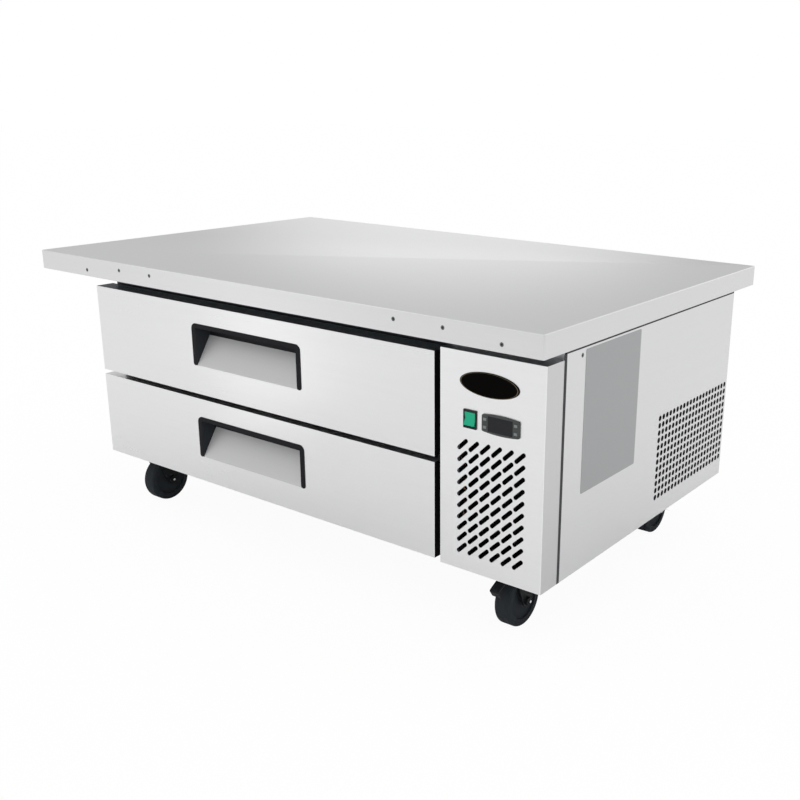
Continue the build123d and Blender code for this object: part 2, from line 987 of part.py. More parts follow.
def grille_panel():
    panel = block(
        panel_left, cabinet_right, front_plane, face_plane - moving_gap, caster_height, panel_top
    )
    panel = fillet(panel.faces().sort_by(Axis.Y)[0].edges(), front_edge_radius)
    panel -= block(
        panel_left + skin_sheet,
        cabinet_right - skin_sheet,
        front_plane + skin_sheet,
        face_plane + cut_overrun,
        caster_height + skin_sheet,
        panel_top - skin_sheet,
    )
    behind = front_plane + skin_sheet + cut_overrun
    through = skin_sheet + 2 * cut_overrun
    plane = facing_front(panel_left + vent_from_left, behind, vent_middle)
    grid = GridLocations(vent_pitch_x, vent_pitch_z, vent_columns, vent_rows)
    slot = Rot(0, 0, vent_slot_slant) * SlotOverall(vent_slot_length, vent_slot_width)
    panel -= extrude(plane * (Sketch() + [place * slot for place in grid]), amount=through)
    panel -= across_panel(
        switch_x,
        controls_z,
        switch_body_width + 2 * fit,
        switch_body_height + 2 * fit,
        front_plane - cut_overrun,
        behind,
    )
    panel -= across_panel(
        controller_x,
        controls_z,
        controller_body_width + 2 * fit,
        controller_body_height + 2 * fit,
        front_plane - cut_overrun,
        behind,
    )
    for plane in panel_screw_planes():
        panel -= screw_shape(plane, fit)
    return panel


def switch_housing():
    bezel = across_panel(
        switch_x, controls_z, switch_width, switch_height, front_plane - switch_proud, front_plane
    )
    bezel = rounded(bezel, Axis.Y, switch_corner_radius)
    bezel = fillet(bezel.faces().sort_by(Axis.Y)[0].edges(), switch_corner_radius / 2)
    body_end = front_plane + switch_body_depth
    housing = bezel + across_panel(
        switch_x, controls_z, switch_body_width, switch_body_height, front_plane, body_end
    )
    housing -= across_panel(
        switch_x,
        controls_z,
        rocker_width + 2 * rocker_gap,
        2 * rocker_radius + 2 * rocker_gap,
        front_plane - switch_proud - cut_overrun,
        rocker_pivot_y + rocker_back + rocker_rise / 2,
    )
    pin_reach = rocker_width / 2 + rocker_pin_length + rocker_gap
    housing -= bar(
        facing_right(switch_x - pin_reach, rocker_pivot_y, controls_z),
        rocker_pin_radius + running_fit,
        2 * pin_reach,
    )
    for step in (-1, 0, 1):
        housing += across_panel(
            switch_x,
            controls_z + step * terminal_pitch,
            terminal_height,
            terminal_width,
            body_end,
            body_end + terminal_length,
        )
    return housing


def switch_rocker():
    """The rocker at rest with its top pressed in, on two short pins."""
    side_view = Polyline(
        (rocker_back, -rocker_radius),
        (rocker_back, rocker_radius),
        (-rocker_rise, rocker_radius),
        (-rocker_valley, 0),
        (-rocker_rise, -rocker_radius),
        close=True,
    )
    profile = make_face(side_view) & Circle(rocker_radius)
    start = facing_right(-rocker_width / 2, 0, 0)
    rocker = extrude(start * profile, amount=rocker_width)
    pin_half = rocker_width / 2 + rocker_pin_length
    rocker += bar(facing_right(-pin_half, 0, 0), rocker_pin_radius, 2 * pin_half)
    return Pos(switch_x, rocker_pivot_y, controls_z) * Rot(-rocker_tilt, 0, 0) * rocker


def controller_housing():
    right = controller_width / 2
    high = controller_end_height / 2
    crest = high + controller_bow
    upper = ThreePointArc((-right, high), (0, crest), (right, high))
    lower = ThreePointArc((right, -high), (0, -crest), (-right, -high))
    outline = make_face([upper, Line(upper @ 1, lower @ 0), lower, Line(lower @ 1, upper @ 0)])
    plane = Plane(origin=(controller_x, front_plane, controls_z), x_dir=(1, 0, 0), z_dir=(0, -1, 0))
    bezel = extrude(plane * outline, amount=controller_proud)
    bezel = rounded(bezel, Axis.Y, controller_corner_radius)
    bezel = fillet(bezel.faces().sort_by(Axis.Y)[0].edges(), controller_edge_radius)
    body_end = front_plane + controller_body_depth
    housing = bezel + across_panel(
        controller_x, controls_z, controller_body_width, controller_body_height, front_plane, body_end
    )
    housing -= across_panel(
        controller_x,
        controls_z,
        window_width,
        window_height,
        bezel_face - cut_overrun,
        bezel_face + window_depth,
    )
    for _, x, z in button_places():
        housing -= across_panel(
            x,
            z,
            button_width + 2 * button_gap,
            button_height + 2 * button_gap,
            bezel_face - cut_overrun,
            bezel_face + bezel_sheet,
        )
        housing -= across_panel(
            x,
            z,
            button_width + 2 * button_flange + 2 * button_gap,
            button_height + 2 * button_flange + 2 * button_gap,
            bezel_face + bezel_sheet,
            bezel_face + bezel_sheet + button_room,
        )
    return housing


def controller_window():
    return across_panel(
        controller_x,
        controls_z,
        window_width - 2 * fit,
        window_height - 2 * fit,
        bezel_face,
        bezel_face + window_depth,
    )


def controller_key(x, z):
    """A small key held behind the bezel by its own flange."""
    seat = bezel_face + bezel_sheet + running_fit
    cap = across_panel(x, z, button_width, button_height, bezel_face - button_proud, seat)
    flange = across_panel(
        x,
        z,
        button_width + 2 * button_flange,
        button_height + 2 * button_flange,
        seat,
        seat + button_flange_height,
    )
    return cap + flange


# Oval plate
# A blank domed plate glued to the front panel.
badge_from_left = 100.7
badge_from_top = 49.1
badge_width = 118.0
badge_height = 41.5
badge_thickness = 2.6
badge_edge_radius = 1.0


def badge_plate():
    x = panel_left + badge_from_left
    z = panel_top - badge_from_top
    plate = extrude(
        facing_front(x, front_plane, z) * Ellipse(badge_width / 2, badge_height / 2),
        amount=badge_thickness,
    )
    return fillet(plate.faces().sort_by(Axis.Y)[0].edges(), badge_edge_radius)


# Finned coils
# The condenser and the evaporator are both two rows of tubes through a stack of fins.
tube_radius = 4.8
tube_count = 8
row_pitch = 22.0
coil_depth = 44.0
coil_margin = 22.0
coil_height_share = 0.6963
coil_stub = 2.0
coil_bend_slack = 0.1
fin_sheet = 0.8
fin_pitch = 6.5
end_plate_sheet = 1.5
coil_height = coil_height_share * room_height
coil_top_tube = coil_height / 2 - coil_margin
tube_pitch = 2 * coil_top_tube / (tube_count - 1)


def serpentine(length):
    """One tube that runs down through the first row and back up through the second."""
    half = length / 2
    bend = tube_pitch / 2
    jump = row_pitch / 2
    points = [(-half - coil_stub, -jump, coil_top_tube)]
    radii = []
    for index in range(tube_count - 1):
        z = coil_top_tube - index * tube_pitch
        x = (half + bend) * (1 if index % 2 == 0 else -1)
        points += [(x, -jump, z), (x, -jump, z - tube_pitch)]
        radii += [bend - coil_bend_slack, bend - coil_bend_slack]
    turn_x = -half - jump
    points += [(turn_x, -jump, -coil_top_tube), (turn_x, jump, -coil_top_tube)]
    radii += [jump - coil_bend_slack, jump - coil_bend_slack]
    for index in range(tube_count - 1):
        z = -coil_top_tube + index * tube_pitch
        x = (half + bend) * (1 if index % 2 == 0 else -1)
        points += [(x, jump, z), (x, jump, z + tube_pitch)]
        radii += [bend - coil_bend_slack, bend - coil_bend_slack]
    points.append((-half - coil_stub, jump, coil_top_tube))
    path = FilletPolyline(*points, radius=radii)
    return sweep(Plane(origin=path @ 0, z_dir=path % 0) * Circle(tube_radius), path=path)


def pierced_sheet(x, sheet, foot):
    """One fin or end plate across the tubes, with its foot below."""
    height = coil_height + foot
    outline = Pos(0, -foot / 2) * Rectangle(coil_depth, height)
    for place in GridLocations(row_pitch, tube_pitch, 2, tube_count):
        outline -= place * Circle(tube_radius + running_fit)
    return extrude(facing_right(x - sheet / 2, 0, 0) * outline, amount=sheet)


def finned_coil(length, foot):
    """A coil about its own middle, with tubes along X and both open ends at the top of its left end."""
    half = length / 2
    fin_count = int((length - 2 * end_plate_sheet) / fin_pitch)
    fin = pierced_sheet(0, fin_sheet, 0)
    sheets = [Pos(share * half, 0, 0) * fin for share in fin_shares(fin_count)]
    for side in (-1, 1):
        sheets.append(pierced_sheet(side * (half - end_plate_sheet / 2), end_plate_sheet, foot))
    return [serpentine(length)] + sheets


def fin_shares(fin_count):
    """The fins' places along the coil, as shares of its half length."""
    return [2 * index / fin_count - 1 for index in range(1, fin_count)]


# Condenser
condenser_length = 179.0
condenser_gap = 11.0
condenser_lift = 10.5
condenser_x = (divider + cabinet_right - skin_sheet) / 2
condenser_y = face_plane + condenser_gap + coil_depth / 2
condenser_z = base_top + condenser_lift + coil_height / 2


def condenser_coil():
    """The condenser, whose end plates reach down to the base plate."""
    place = Pos(condenser_x, condenser_y, condenser_z)
    foot = condenser_z - coil_height / 2 - base_top
    return [place * piece for piece in finned_coil(condenser_length, foot)]


# Fans
# Each fan has a motor on a strap bracket, bolted behind the plate whose ring the blades turn in.
motor_radius = 30.0
motor_length = 38.0
motor_start = 16.0
shaft_radius = 4.0
strap_width = 24.0
strap_sheet = 2.0
strap_foot = 12.0
strap_reach = 14.0
hub_radius = 18.0
hub_length = 20.0
hub_front = -10.0
blade_count = 5
blade_sheet = 1.5
blade_width_share = 1.3
blade_slant = 28.0
blade_turn = 360.0 / blade_count


def fan_motor(strap_half):
    """The motor with its shaft, about the fan's axis, and the strap that carries it."""
    motor = upright(0, 0, motor_start, motor_radius, motor_length)
    motor += upright(0, 0, hub_front, shaft_radius, motor_start - hub_front)
    strap_back = motor_start + motor_length
    strap = block(
        -strap_width / 2, strap_width / 2, -strap_half, strap_half, strap_back, strap_back + strap_sheet
    )
    for side in (-1, 1):
        leg = sorted((side * strap_half, side * (strap_half - strap_sheet)))
        foot = sorted((side * strap_half, side * (strap_half + strap_foot)))
        strap += block(-strap_width / 2, strap_width / 2, *leg, 0, strap_back + strap_sheet)
        strap += block(-strap_width / 2, strap_width / 2, *foot, 0, strap_sheet)
    return motor, strap


def fan_blade(blade_radius):
    """A hub that runs on the motor's shaft, with slanted blades."""
    hub = upright(0, 0, hub_front, hub_radius, hub_length)
    reach = blade_radius - hub_radius / 2
    width = blade_width_share * math.tau * (blade_radius + hub_radius) / 2 / blade_count / 2
    disc = upright(0, 0, hub_front, blade_radius, hub_length)
    fan = hub
    for index in range(blade_count):
        blade = Pos((blade_radius + hub_radius / 2) / 2, 0, hub_front + hub_length / 2) * Rot(
            blade_slant, 0, 0
        )
        blade = blade * Box(reach, width, blade_sheet)
        fan += (Rot(0, 0, index * blade_turn) * blade) & disc
    return fan - upright(
        0, 0, hub_front - cut_overrun, shaft_radius + running_fit, hub_length + 2 * cut_overrun
    )


# Condenser fan and its shroud
shroud_gap = 4.0
shroud_depth = 30.0
shroud_lip = 12.0
shroud_sheet = 1.2
shroud_margin = 1.5
condenser_side_margin = 7.5
condenser_strap_half = coil_height / 2 - strap_foot - shroud_margin
condenser_blade_radius = min(
    condenser_strap_half - strap_reach, condenser_length / 2 - condenser_side_margin
)
shroud_back = condenser_y + coil_depth / 2 + shroud_depth
condenser_fan_place = Plane(
    origin=(condenser_x, shroud_back, condenser_z), x_dir=(1, 0, 0), z_dir=(0, 1, 0)
)


def condenser_shroud():
    """The duct between the condenser and its fan, with a ring round the blades."""
    half_width = condenser_length / 2
    coil_back = condenser_y + coil_depth / 2
    duct = block(
        condenser_x - half_width,
        condenser_x + half_width,
        coil_back,
        shroud_back,
        condenser_z - coil_height / 2,
        condenser_z + coil_height / 2,
    )
    duct -= block(
        condenser_x - half_width + shroud_sheet,
        condenser_x + half_width - shroud_sheet,
        coil_back - cut_overrun,
        shroud_back - shroud_sheet,
        condenser_z - coil_height / 2 + shroud_sheet,
        condenser_z + coil_height / 2 - shroud_sheet,
    )
    opening_radius = condenser_blade_radius + shroud_gap
    ring_start = facing_rear(condenser_x, shroud_back - shroud_sheet, condenser_z)
    duct += bar(ring_start, opening_radius + shroud_sheet, shroud_lip)
    cutter = facing_rear(condenser_x, shroud_back - shroud_sheet - cut_overrun, condenser_z)
    return duct - bar(cutter, opening_radius, shroud_lip + 2 * cut_overrun)


# Evaporator bay
# A sheet cover beside the right-hand slides closes off the bay that holds the evaporator and its fan.
cover_sheet = 1.0
evaporator_side_gap = 34.0
evaporator_length_share = 0.274
evaporator_depth_share = 0.7268
evaporator_fan_depth_share = 0.3642
evaporator_blade_share = 0.387
return_slot_length = 60.0
return_slot_width = 7.0
return_slot_columns = 2
return_slot_rows = 7
return_slot_pitch_y = 76.0
return_slot_pitch_z = 15.0
drip_tray_sheet = 1.0
drip_tray_height = 14.0
drip_tray_lift = 4.0
evaporator_length = evaporator_length_share * room_depth
evaporator_y = face_plane + evaporator_depth_share * room_depth
evaporator_fan_y = face_plane + evaporator_fan_depth_share * room_depth
cover_inner = cover_left + cover_sheet
evaporator_x = room_right - evaporator_side_gap - coil_depth / 2
evaporator_z = line_height - coil_top_tube
free_wall_top = frame_middle(upper_frame_top) - slide_height / 2
free_wall_bottom = frame_middle(lower_frame_top) + slide_height / 2
free_wall_middle = (free_wall_top + free_wall_bottom) / 2
evaporator_blade_radius = evaporator_blade_share * (free_wall_top - free_wall_bottom)
evaporator_strap_half = evaporator_blade_radius + strap_reach
evaporator_fan_place = Plane(
    origin=(cover_inner, evaporator_fan_y, free_wall_middle), x_dir=(0, 1, 0), z_dir=(1, 0, 0)
)


def evaporator_coil():
    """The evaporator, whose end plates stand in its drip tray."""
    place = Pos(evaporator_x, evaporator_y, evaporator_z) * Rot(0, 0, -90)
    tray_floor = room_floor + drip_tray_lift + drip_tray_sheet
    foot = evaporator_z - coil_height / 2 - tray_floor
    return [place * piece for piece in finned_coil(evaporator_length, foot)]


def evaporator_cover():
    """The cover with its fan opening and return slots, closed at the front by a folded flange."""
    front = face_plane + breaker_depth
    cover = block(cover_left, cover_inner, front, room_rear, room_floor, room_roof)
    cover += block(cover_left, room_right, front, front + cover_sheet, room_floor, room_roof)
    opening = facing_right(cover_left - cut_overrun, evaporator_fan_y, free_wall_middle)
    cover -= bar(opening, evaporator_blade_radius + shroud_gap, cover_sheet + 2 * cut_overrun)
    plane = facing_right(cover_left - cut_overrun, evaporator_y, free_wall_middle)
    grid = GridLocations(
        return_slot_pitch_y, return_slot_pitch_z, return_slot_columns, return_slot_rows
    )
    slots = Sketch() + [place * SlotOverall(return_slot_length, return_slot_width) for place in grid]
    return cover - extrude(plane * slots, amount=cover_sheet + 2 * cut_overrun)


def drip_tray():
    """The tray under the evaporator, on four short feet, with its drain at the right."""
    margin = coil_margin
    low_x = evaporator_x - coil_depth / 2 - margin
    high_x = evaporator_x + coil_depth / 2 + margin / 2
    low_y = evaporator_y - evaporator_length / 2 - margin
    high_y = evaporator_y + evaporator_length / 2 + margin
    floor = room_floor + drip_tray_lift
    tray = block(low_x, high_x, low_y, high_y, floor, floor + drip_tray_height)
    tray -= block(
        low_x + drip_tray_sheet,
        high_x - drip_tray_sheet,
        low_y + drip_tray_sheet,
        high_y - drip_tray_sheet,
        floor + drip_tray_sheet,
        floor + drip_tray_height + cut_overrun,
    )
    for x in (low_x, high_x - drip_tray_sheet):
        for y in (low_y, high_y - frame_width):
            tray += block(x, x + drip_tray_sheet, y, y + frame_width, room_floor, floor)
    return tray


# Compressor
# A hermetic shell welded round its middle, on a plate carried by four rubber mounts.
compressor_depth_share = 0.4415
shell_radius = 75.0
discharge_rise = 23.0
shell_top_round = 45.0
shell_bottom_round = 28.0
seam_width = 3.0
seam_height = 4.0
mount_height = 12.0
mount_radius = 11.0
mount_inset = 14.0
foot_plate_width = 196.0
foot_plate_depth = 130.0
foot_plate_sheet = 2.5
terminal_box_width = 50.0
terminal_box_depth = 30.0
terminal_box_height = 60.0
terminal_box_lift = 55.0
compressor_x = condenser_x
compressor_y = face_plane + compressor_depth_share * cabinet_depth
shell_bottom = base_top + mount_height + foot_plate_sheet
shell_top = condenser_z + coil_top_tube - discharge_rise
shell_height = shell_top - shell_bottom


def compressor():
    shell = upright(compressor_x, compressor_y, shell_bottom, shell_radius, shell_height)
    top_edge = shell.faces().sort_by(Axis.Z)[-1].edges()
    shell = fillet(top_edge, shell_top_round)
    bottom_edge = shell.faces().sort_by(Axis.Z)[0].edges()
    shell = fillet(bottom_edge, shell_bottom_round)
    seam_z = shell_bottom + shell_height / 2
    shell += upright(compressor_x, compressor_y, seam_z, shell_radius + seam_width, seam_height)
    plate = block(
        compressor_x - foot_plate_width / 2,
        compressor_x + foot_plate_width / 2,
        compressor_y - foot_plate_depth / 2,
        compressor_y + foot_plate_depth / 2,
        shell_bottom - foot_plate_sheet,
        shell_bottom,
    )
    shell += rounded(plate, Axis.Z, mount_inset)
    box_low = shell_bottom + terminal_box_lift
    shell += block(
        compressor_x - terminal_box_width / 2,
        compressor_x + terminal_box_width / 2,
        compressor_y + shell_radius - terminal_box_depth / 2,
        compressor_y + shell_radius + terminal_box_depth / 2,
        box_low,
        box_low + terminal_box_height,
    )
    mounts = []
    corners = GridLocations(
        foot_plate_width - 2 * mount_inset, foot_plate_depth - 2 * mount_inset, 2, 2
    )
    for corner in corners:
        x = compressor_x + corner.position.X
        y = compressor_y + corner.position.Y
        mounts.append(upright(x, y, base_top, mount_radius, mount_height))
    return shell, *mounts


# Pipework
# Copper lines between the compressor, the condenser and the evaporator, with a filter drier in the
# liquid line, and the plastic drain from the drip tray.
discharge_radius = 4.0
liquid_radius = 3.2
suction_radius = 4.75
drain_radius = 6.0
drier_radius = 10.0
drier_length = 110.0
bend_radius = 8.0
straight_run = 0.5
line_spread = 10.0
suction_lane = 30.0
drain_lane = 46.0
compressor_line_inset = 18.0
drain_drop = 26.0
coil_left = condenser_x - condenser_length / 2 - coil_stub
near_lane_x = coil_left - bend_radius - straight_run
suction_lane_x = divider + suction_lane
drain_lane_x = divider + drain_lane
liquid_y = line_port_y - line_spread
suction_y = line_port_y + line_spread

# Condensate pan
pan_width_x = 170.0
pan_height = 32.0
pan_sheet = 1.2
pan_place_share = 0.615
pan_depth_share = 0.527
compressor_rear = compressor_y + shell_radius + terminal_box_depth / 2
pan_space = cabinet_rear - compressor_rear
pan_y = compressor_rear + pan_place_share * pan_space
pan_depth_y = pan_depth_share * pan_space


def tube(radius, *points):
    """A round tube of straight runs joined by tangent arcs."""
    path = FilletPolyline(*points, radius=bend_radius)
    start = Plane(origin=path @ 0, z_dir=path % 0)
    return sweep(start * Circle(radius), path=path)


def discharge_line():
    """From the condenser's rear row to the compressor."""
    rear_row = condenser_y + row_pitch / 2
    top_z = condenser_z + coil_top_tube
    shell_x = compressor_x - compressor_line_inset
    return tube(
        discharge_radius,
        (coil_left, rear_row, top_z),
        (near_lane_x, rear_row, top_z),
        (near_lane_x, compressor_y, top_z),
        (shell_x, compressor_y, top_z),
        (shell_x, compressor_y, shell_top),
    )


def liquid_line():
    """From the condenser's front row through the drier to the evaporator."""
    front_row = condenser_y - row_pitch / 2
    top_z = condenser_z + coil_top_tube
    right_row = evaporator_x + row_pitch / 2
    coil_rear = evaporator_y + evaporator_length / 2 + coil_stub
    line = tube(
        liquid_radius,
        (coil_left, front_row, top_z),
        (near_lane_x, front_row, top_z),
        (near_lane_x, front_row, line_height),
        (near_lane_x, liquid_y, line_height),
        (right_row, liquid_y, line_height),
        (right_row, coil_rear, line_height),
    )
    drier_start = facing_rear(near_lane_x, compressor_y - drier_length, line_height)
    return line + bar(drier_start, drier_radius, drier_length)


def suction_line():
    """From the evaporator back to the compressor."""
    left_row = evaporator_x - row_pitch / 2
    coil_rear = evaporator_y + evaporator_length / 2 + coil_stub
    shell_x = compressor_x + compressor_line_inset
    return tube(
        suction_radius,
        (left_row, coil_rear, line_height),
        (left_row, suction_y, line_height),
        (suction_lane_x, suction_y, line_height),
        (suction_lane_x, compressor_y, line_height),
        (shell_x, compressor_y, line_height),
        (shell_x, compressor_y, shell_top),
    )


def drain_line():
    """From the drip tray down into the condensate pan."""
    tray_right = evaporator_x + coil_depth / 2 + coil_margin / 2
    return tube(
        drain_radius,
        (tray_right, drain_port_y, drain_height),
        (drain_lane_x, drain_port_y, drain_height),
        (drain_lane_x, pan_y, drain_height),
        (drain_lane_x, pan_y, drain_height - drain_drop),
    )


def condensate_pan():
    """The open pan that catches the drain water, standing on the nut pad of the rear caster."""
    low_x = condenser_x - pan_width_x / 2
    low_y = pan_y - pan_depth_y / 2
    low_z = base_top + nut_pad_height
    pan = block(low_x, low_x + pan_width_x, low_y, low_y + pan_depth_y, low_z, low_z + pan_height)
    return pan - block(
        low_x + pan_sheet,
        low_x + pan_width_x - pan_sheet,
        low_y + pan_sheet,
        low_y + pan_depth_y - pan_sheet,
        low_z + pan_sheet,
        low_z + pan_height + cut_overrun,
    )


# Casters
# A bolted top plate with a ball race, a swivelling fork and a solid wheel on a through bolt.
# The front right caster also has a brake lever.
wheel_radius = 50.0
wheel_width = 32.0
tyre_depth = 10.0
tyre_round = 5.0
hub_recess = 4.0
axle_radius = 5.0
plate_width_x = 70.0
plate_depth_y = 95.0
plate_sheet = 3.0
race_radius = 27.0
race_height = 5.0
kingpin_radius = 5.0
kingpin_head_radius = 9.0
kingpin_head_height = 3.5
crown_radius = 29.0
crown_height = 6.0
fork_sheet = 3.0
fork_gap = 2.5
fork_leg_radius = 12.0
bolt_head_radius = 7.5
bolt_head_height = 5.0
caster_bolt_head_radius = 6.5
caster_bolt_head_height = 4.0
pedal_pivot_ahead = 4.0
pedal_pivot_drop = 10.0
pedal_pin_radius = 2.5
pedal_thickness = 5.0
pedal_length = 78.0
pedal_width = 18.0
pedal_fall = 20.0
pedal_lip_drop = 14.0
pedal_lip_back = 10.0
pedal_round = 3.0
hood_ahead = 26.0
hood_drop = 14.0
braked_corner = "front_right"
race_bottom = caster_height - plate_sheet - race_height
crown_top = race_bottom - moving_gap
crown_bottom = crown_top - crown_height
fork_inner = wheel_width / 2 + fork_gap
fork_outer = fork_inner + fork_sheet
pedal_pivot_z = caster_height - pedal_pivot_drop


def caster_plate(x, y):
    """The plate, race and kingpin of one caster, with its four bolts."""
    top = caster_height
    plate = block(
        x - plate_width_x / 2,
        x + plate_width_x / 2,
        y - plate_depth_y / 2,
        y + plate_depth_y / 2,
        top - plate_sheet,
        top,
    )
    plate += upright(x, y, race_bottom, race_radius, race_height)
    head_bottom = crown_bottom - moving_gap - kingpin_head_height
    plate += upright(x, y, head_bottom, kingpin_radius, race_bottom - head_bottom)
    plate += upright(x, y, head_bottom, kingpin_head_radius, kingpin_head_height)
    bolts = []
    for bolt_x, bolt_y in caster_bolt_places(x, y):
        plate -= upright(
            bolt_x, bolt_y, top - plate_sheet - cut_overrun, caster_bolt_radius + fit,
            plate_sheet + 2 * cut_overrun,
        )
        bolt = upright(
            bolt_x, bolt_y, top - plate_sheet, caster_bolt_radius,
            plate_sheet + base_sheet + nut_pad_height,
        )
        head_low = top - plate_sheet - caster_bolt_head_height
        bolt += upright(bolt_x, bolt_y, head_low, caster_bolt_head_radius, caster_bolt_head_height)
        bolts.append(bolt)
    return plate, *bolts


def fork_leg(x, y, x_low, x_high):
    """One fork leg: a rounded plate from the crown, hooded ahead of the wheel, down to the axle."""
    wheel_y = y - caster_trail
    hood_y = wheel_y - hood_ahead
    crown_middle = crown_bottom + crown_height / 2
    rounds = [*(Pos(wheel_y, wheel_radius) * Circle(fork_leg_radius)).edges()]
    for place in ((y, crown_middle), (hood_y, crown_middle), (hood_y, crown_middle - hood_drop)):
        rounds.extend((Pos(*place) * Circle(crown_height / 2)).edges())
    outline = make_hull(rounds)
    return extrude(facing_right(x + x_low, 0, 0) * outline, amount=x_high - x_low)


def caster_fork(x, y, braked):
    """The fork with its crown, and the axle bolt with its nut."""
    wheel_y = y - caster_trail
    crown_front = wheel_y + pedal_pivot_ahead
    fork = upright(x, y, crown_bottom, crown_radius, crown_height)
    bridge_front = crown_front + 2 * crown_height
    fork += block(x - fork_outer, x + fork_outer, bridge_front, y, crown_bottom, crown_top)
    fork += fork_leg(x, y, fork_inner, fork_outer)
    fork += fork_leg(x, y, -fork_outer, -fork_inner)
    fork -= upright(
        x, y, crown_bottom - cut_overrun, kingpin_radius + running_fit, crown_height + 2 * cut_overrun
    )
    axle_start = facing_right(x - fork_outer - cut_overrun, wheel_y, wheel_radius)
    fork -= bar(axle_start, axle_radius + running_fit, 2 * fork_outer + 2 * cut_overrun)
    if braked:
        pin_start = facing_right(x - fork_outer - cut_overrun, crown_front, pedal_pivot_z)
        fork -= bar(pin_start, pedal_pin_radius + running_fit, 2 * fork_outer + 2 * cut_overrun)
    axle = bar(
        facing_right(x - fork_outer, wheel_y, wheel_radius), axle_radius, 2 * fork_outer
    )
    axle += bar(facing_right(x + fork_outer, wheel_y, wheel_radius), bolt_head_radius, bolt_head_height)
    nut_start = facing_right(x - fork_outer - bolt_head_height, wheel_y, wheel_radius)
    nut_hexagon = nut_start * RegularPolygon(bolt_head_radius, hexagon_sides)
    axle += extrude(nut_hexagon, amount=bolt_head_height)
    return fork, axle


def caster_wheel(x, y):
    """The tyre and its hub, about the axle."""
    start = facing_right(x - wheel_width / 2, y - caster_trail, wheel_radius)
    tyre_bore = wheel_radius - tyre_depth
    tyre = bar(start, wheel_radius, wheel_width)
    tyre = fillet(tyre.edges().filter_by(GeomType.CIRCLE), tyre_round)
    tyre -= bar(start, tyre_bore, wheel_width)
    hub = bar(start, tyre_bore, wheel_width)
    boss_radius = axle_radius + hub_recess
    rim_radius = tyre_bore - hub_recess
    for side_start in (x - wheel_width / 2, x + wheel_width / 2 - hub_recess):
        place = facing_right(side_start, y - caster_trail, wheel_radius)
        hub -= bar(place, rim_radius, hub_recess) - bar(place, boss_radius, hub_recess)
    hub -= bar(start, axle_radius + running_fit, wheel_width)
    return tyre, hub


def brake_pedal(x, y):
    """The lever at rest, off the wheel, on a cross pin through the fork, its tip turned down."""
    pivot_y = y - caster_trail + pedal_pivot_ahead
    half = pedal_thickness / 2
    tip_top = half - pedal_fall
    lip_root = -half - pedal_fall * (1 - 2 * pedal_thickness / pedal_length)
    side_view = Polyline(
        (0, half),
        (-pedal_length / 2, half),
        (-pedal_length, tip_top),
        (pedal_lip_back - pedal_length, tip_top - pedal_lip_drop),
        (pedal_lip_back - pedal_length + pedal_thickness, tip_top - pedal_lip_drop),
        (pedal_thickness - pedal_length, lip_root),
        (-pedal_length / 2, -half),
        (0, -half),
        close=True,
    )
    start = facing_right(x - pedal_width / 2, pivot_y, pedal_pivot_z)
    pedal = extrude(start * (make_face(side_view) + Circle(half)), amount=pedal_width)
    tip_edges = pedal.edges().filter_by(Axis.X).group_by(Axis.Y)[0]
    pedal = fillet(tip_edges, pedal_round)
    pin = bar(
        facing_right(x - fork_outer, pivot_y, pedal_pivot_z), pedal_pin_radius, 2 * fork_outer
    )
    return pedal + pin


# Assembly, written node by node
save("worktop_skin", worktop_skin())
save("worktop_core", worktop_core())
save("base_plate", base_plate())
save("cabinet_casing", cabinet_casing())
save("cabinet_insulation", cabinet_insulation())
save("cabinet_liner", cabinet_liner())
save("breaker_frame", breaker_frame())
save("machine_frame", machine_frame())
save("side_panel", side_panel())
save("rear_panel", rear_panel())
save("cord_gland", *cord_gland())
save("grille_panel", grille_panel())
save("switch_housing", switch_housing())
save("switch_rocker", switch_rocker())
save("controller_housing", controller_housing())
save("controller_window", controller_window())
save("badge_plate", badge_plate())
save("condenser_coil", *condenser_coil())
save("condenser_shroud", condenser_shroud())
save("evaporator_coil", *evaporator_coil())
save("evaporator_cover", evaporator_cover(), drip_tray())
save("compressor", *compressor())
save("pipework", discharge_line(), liquid_line(), suction_line(), drain_line())
save("condensate_pan", condensate_pan())

for key_name, key_x, key_z in button_places():
    save(key_name, controller_key(key_x, key_z))

all_screws = apron_screw_planes() + panel_screw_planes() + side_screw_planes() + rear_screw_planes()
save("fixing_screws", *[screw_shape(plane) for plane in all_screws])

motors = []
for place, strap_half in (
    (condenser_fan_place, condenser_strap_half),
    (evaporator_fan_place, evaporator_strap_half),
):
    motors.extend(place * piece for piece in fan_motor(strap_half))
save("fan_motors", *motors)
save("condenser_fan_blade", condenser_fan_place * fan_blade(condenser_blade_radius))
save("evaporator_fan_blade", evaporator_fan_place * fan_blade(evaporator_blade_radius))

fixed_rails = []
drawers = (
    ("upper", upper_front_bottom, upper_front_top, upper_frame_top),
    ("lower", lower_front_bottom, lower_front_top, lower_frame_top),
)
for level, bottom, top, frame_top in drawers:
    middle = frame_middle(frame_top)
    sides = ((room_left, 1), (cover_left, -1))
    fixed_rails.extend(fixed_channel(wall, inward, middle) for wall, inward in sides)
    save(level + "_slide_middles", *[middle_channel(wall, inward, middle) for wall, inward in sides])
    inner = [drawer_channel(wall, inward, middle) for wall, inward in sides]
    save(level + "_pan_frame", pan_frame(frame_top), *inner)
    save(level + "_drawer_skin", drawer_skin(bottom, top))
    save(level + "_drawer_foam", drawer_foam(bottom, top))
    save(level + "_drawer_liner", drawer_liner(bottom, top))
    save(level + "_drawer_gasket", drawer_gasket(bottom, top))
    save(level + "_handle_frame", handle_frame(top - handle_drop))
    save(level + "_handle_scoop", handle_scoop(top - handle_drop))
save("slide_rails", *fixed_rails)

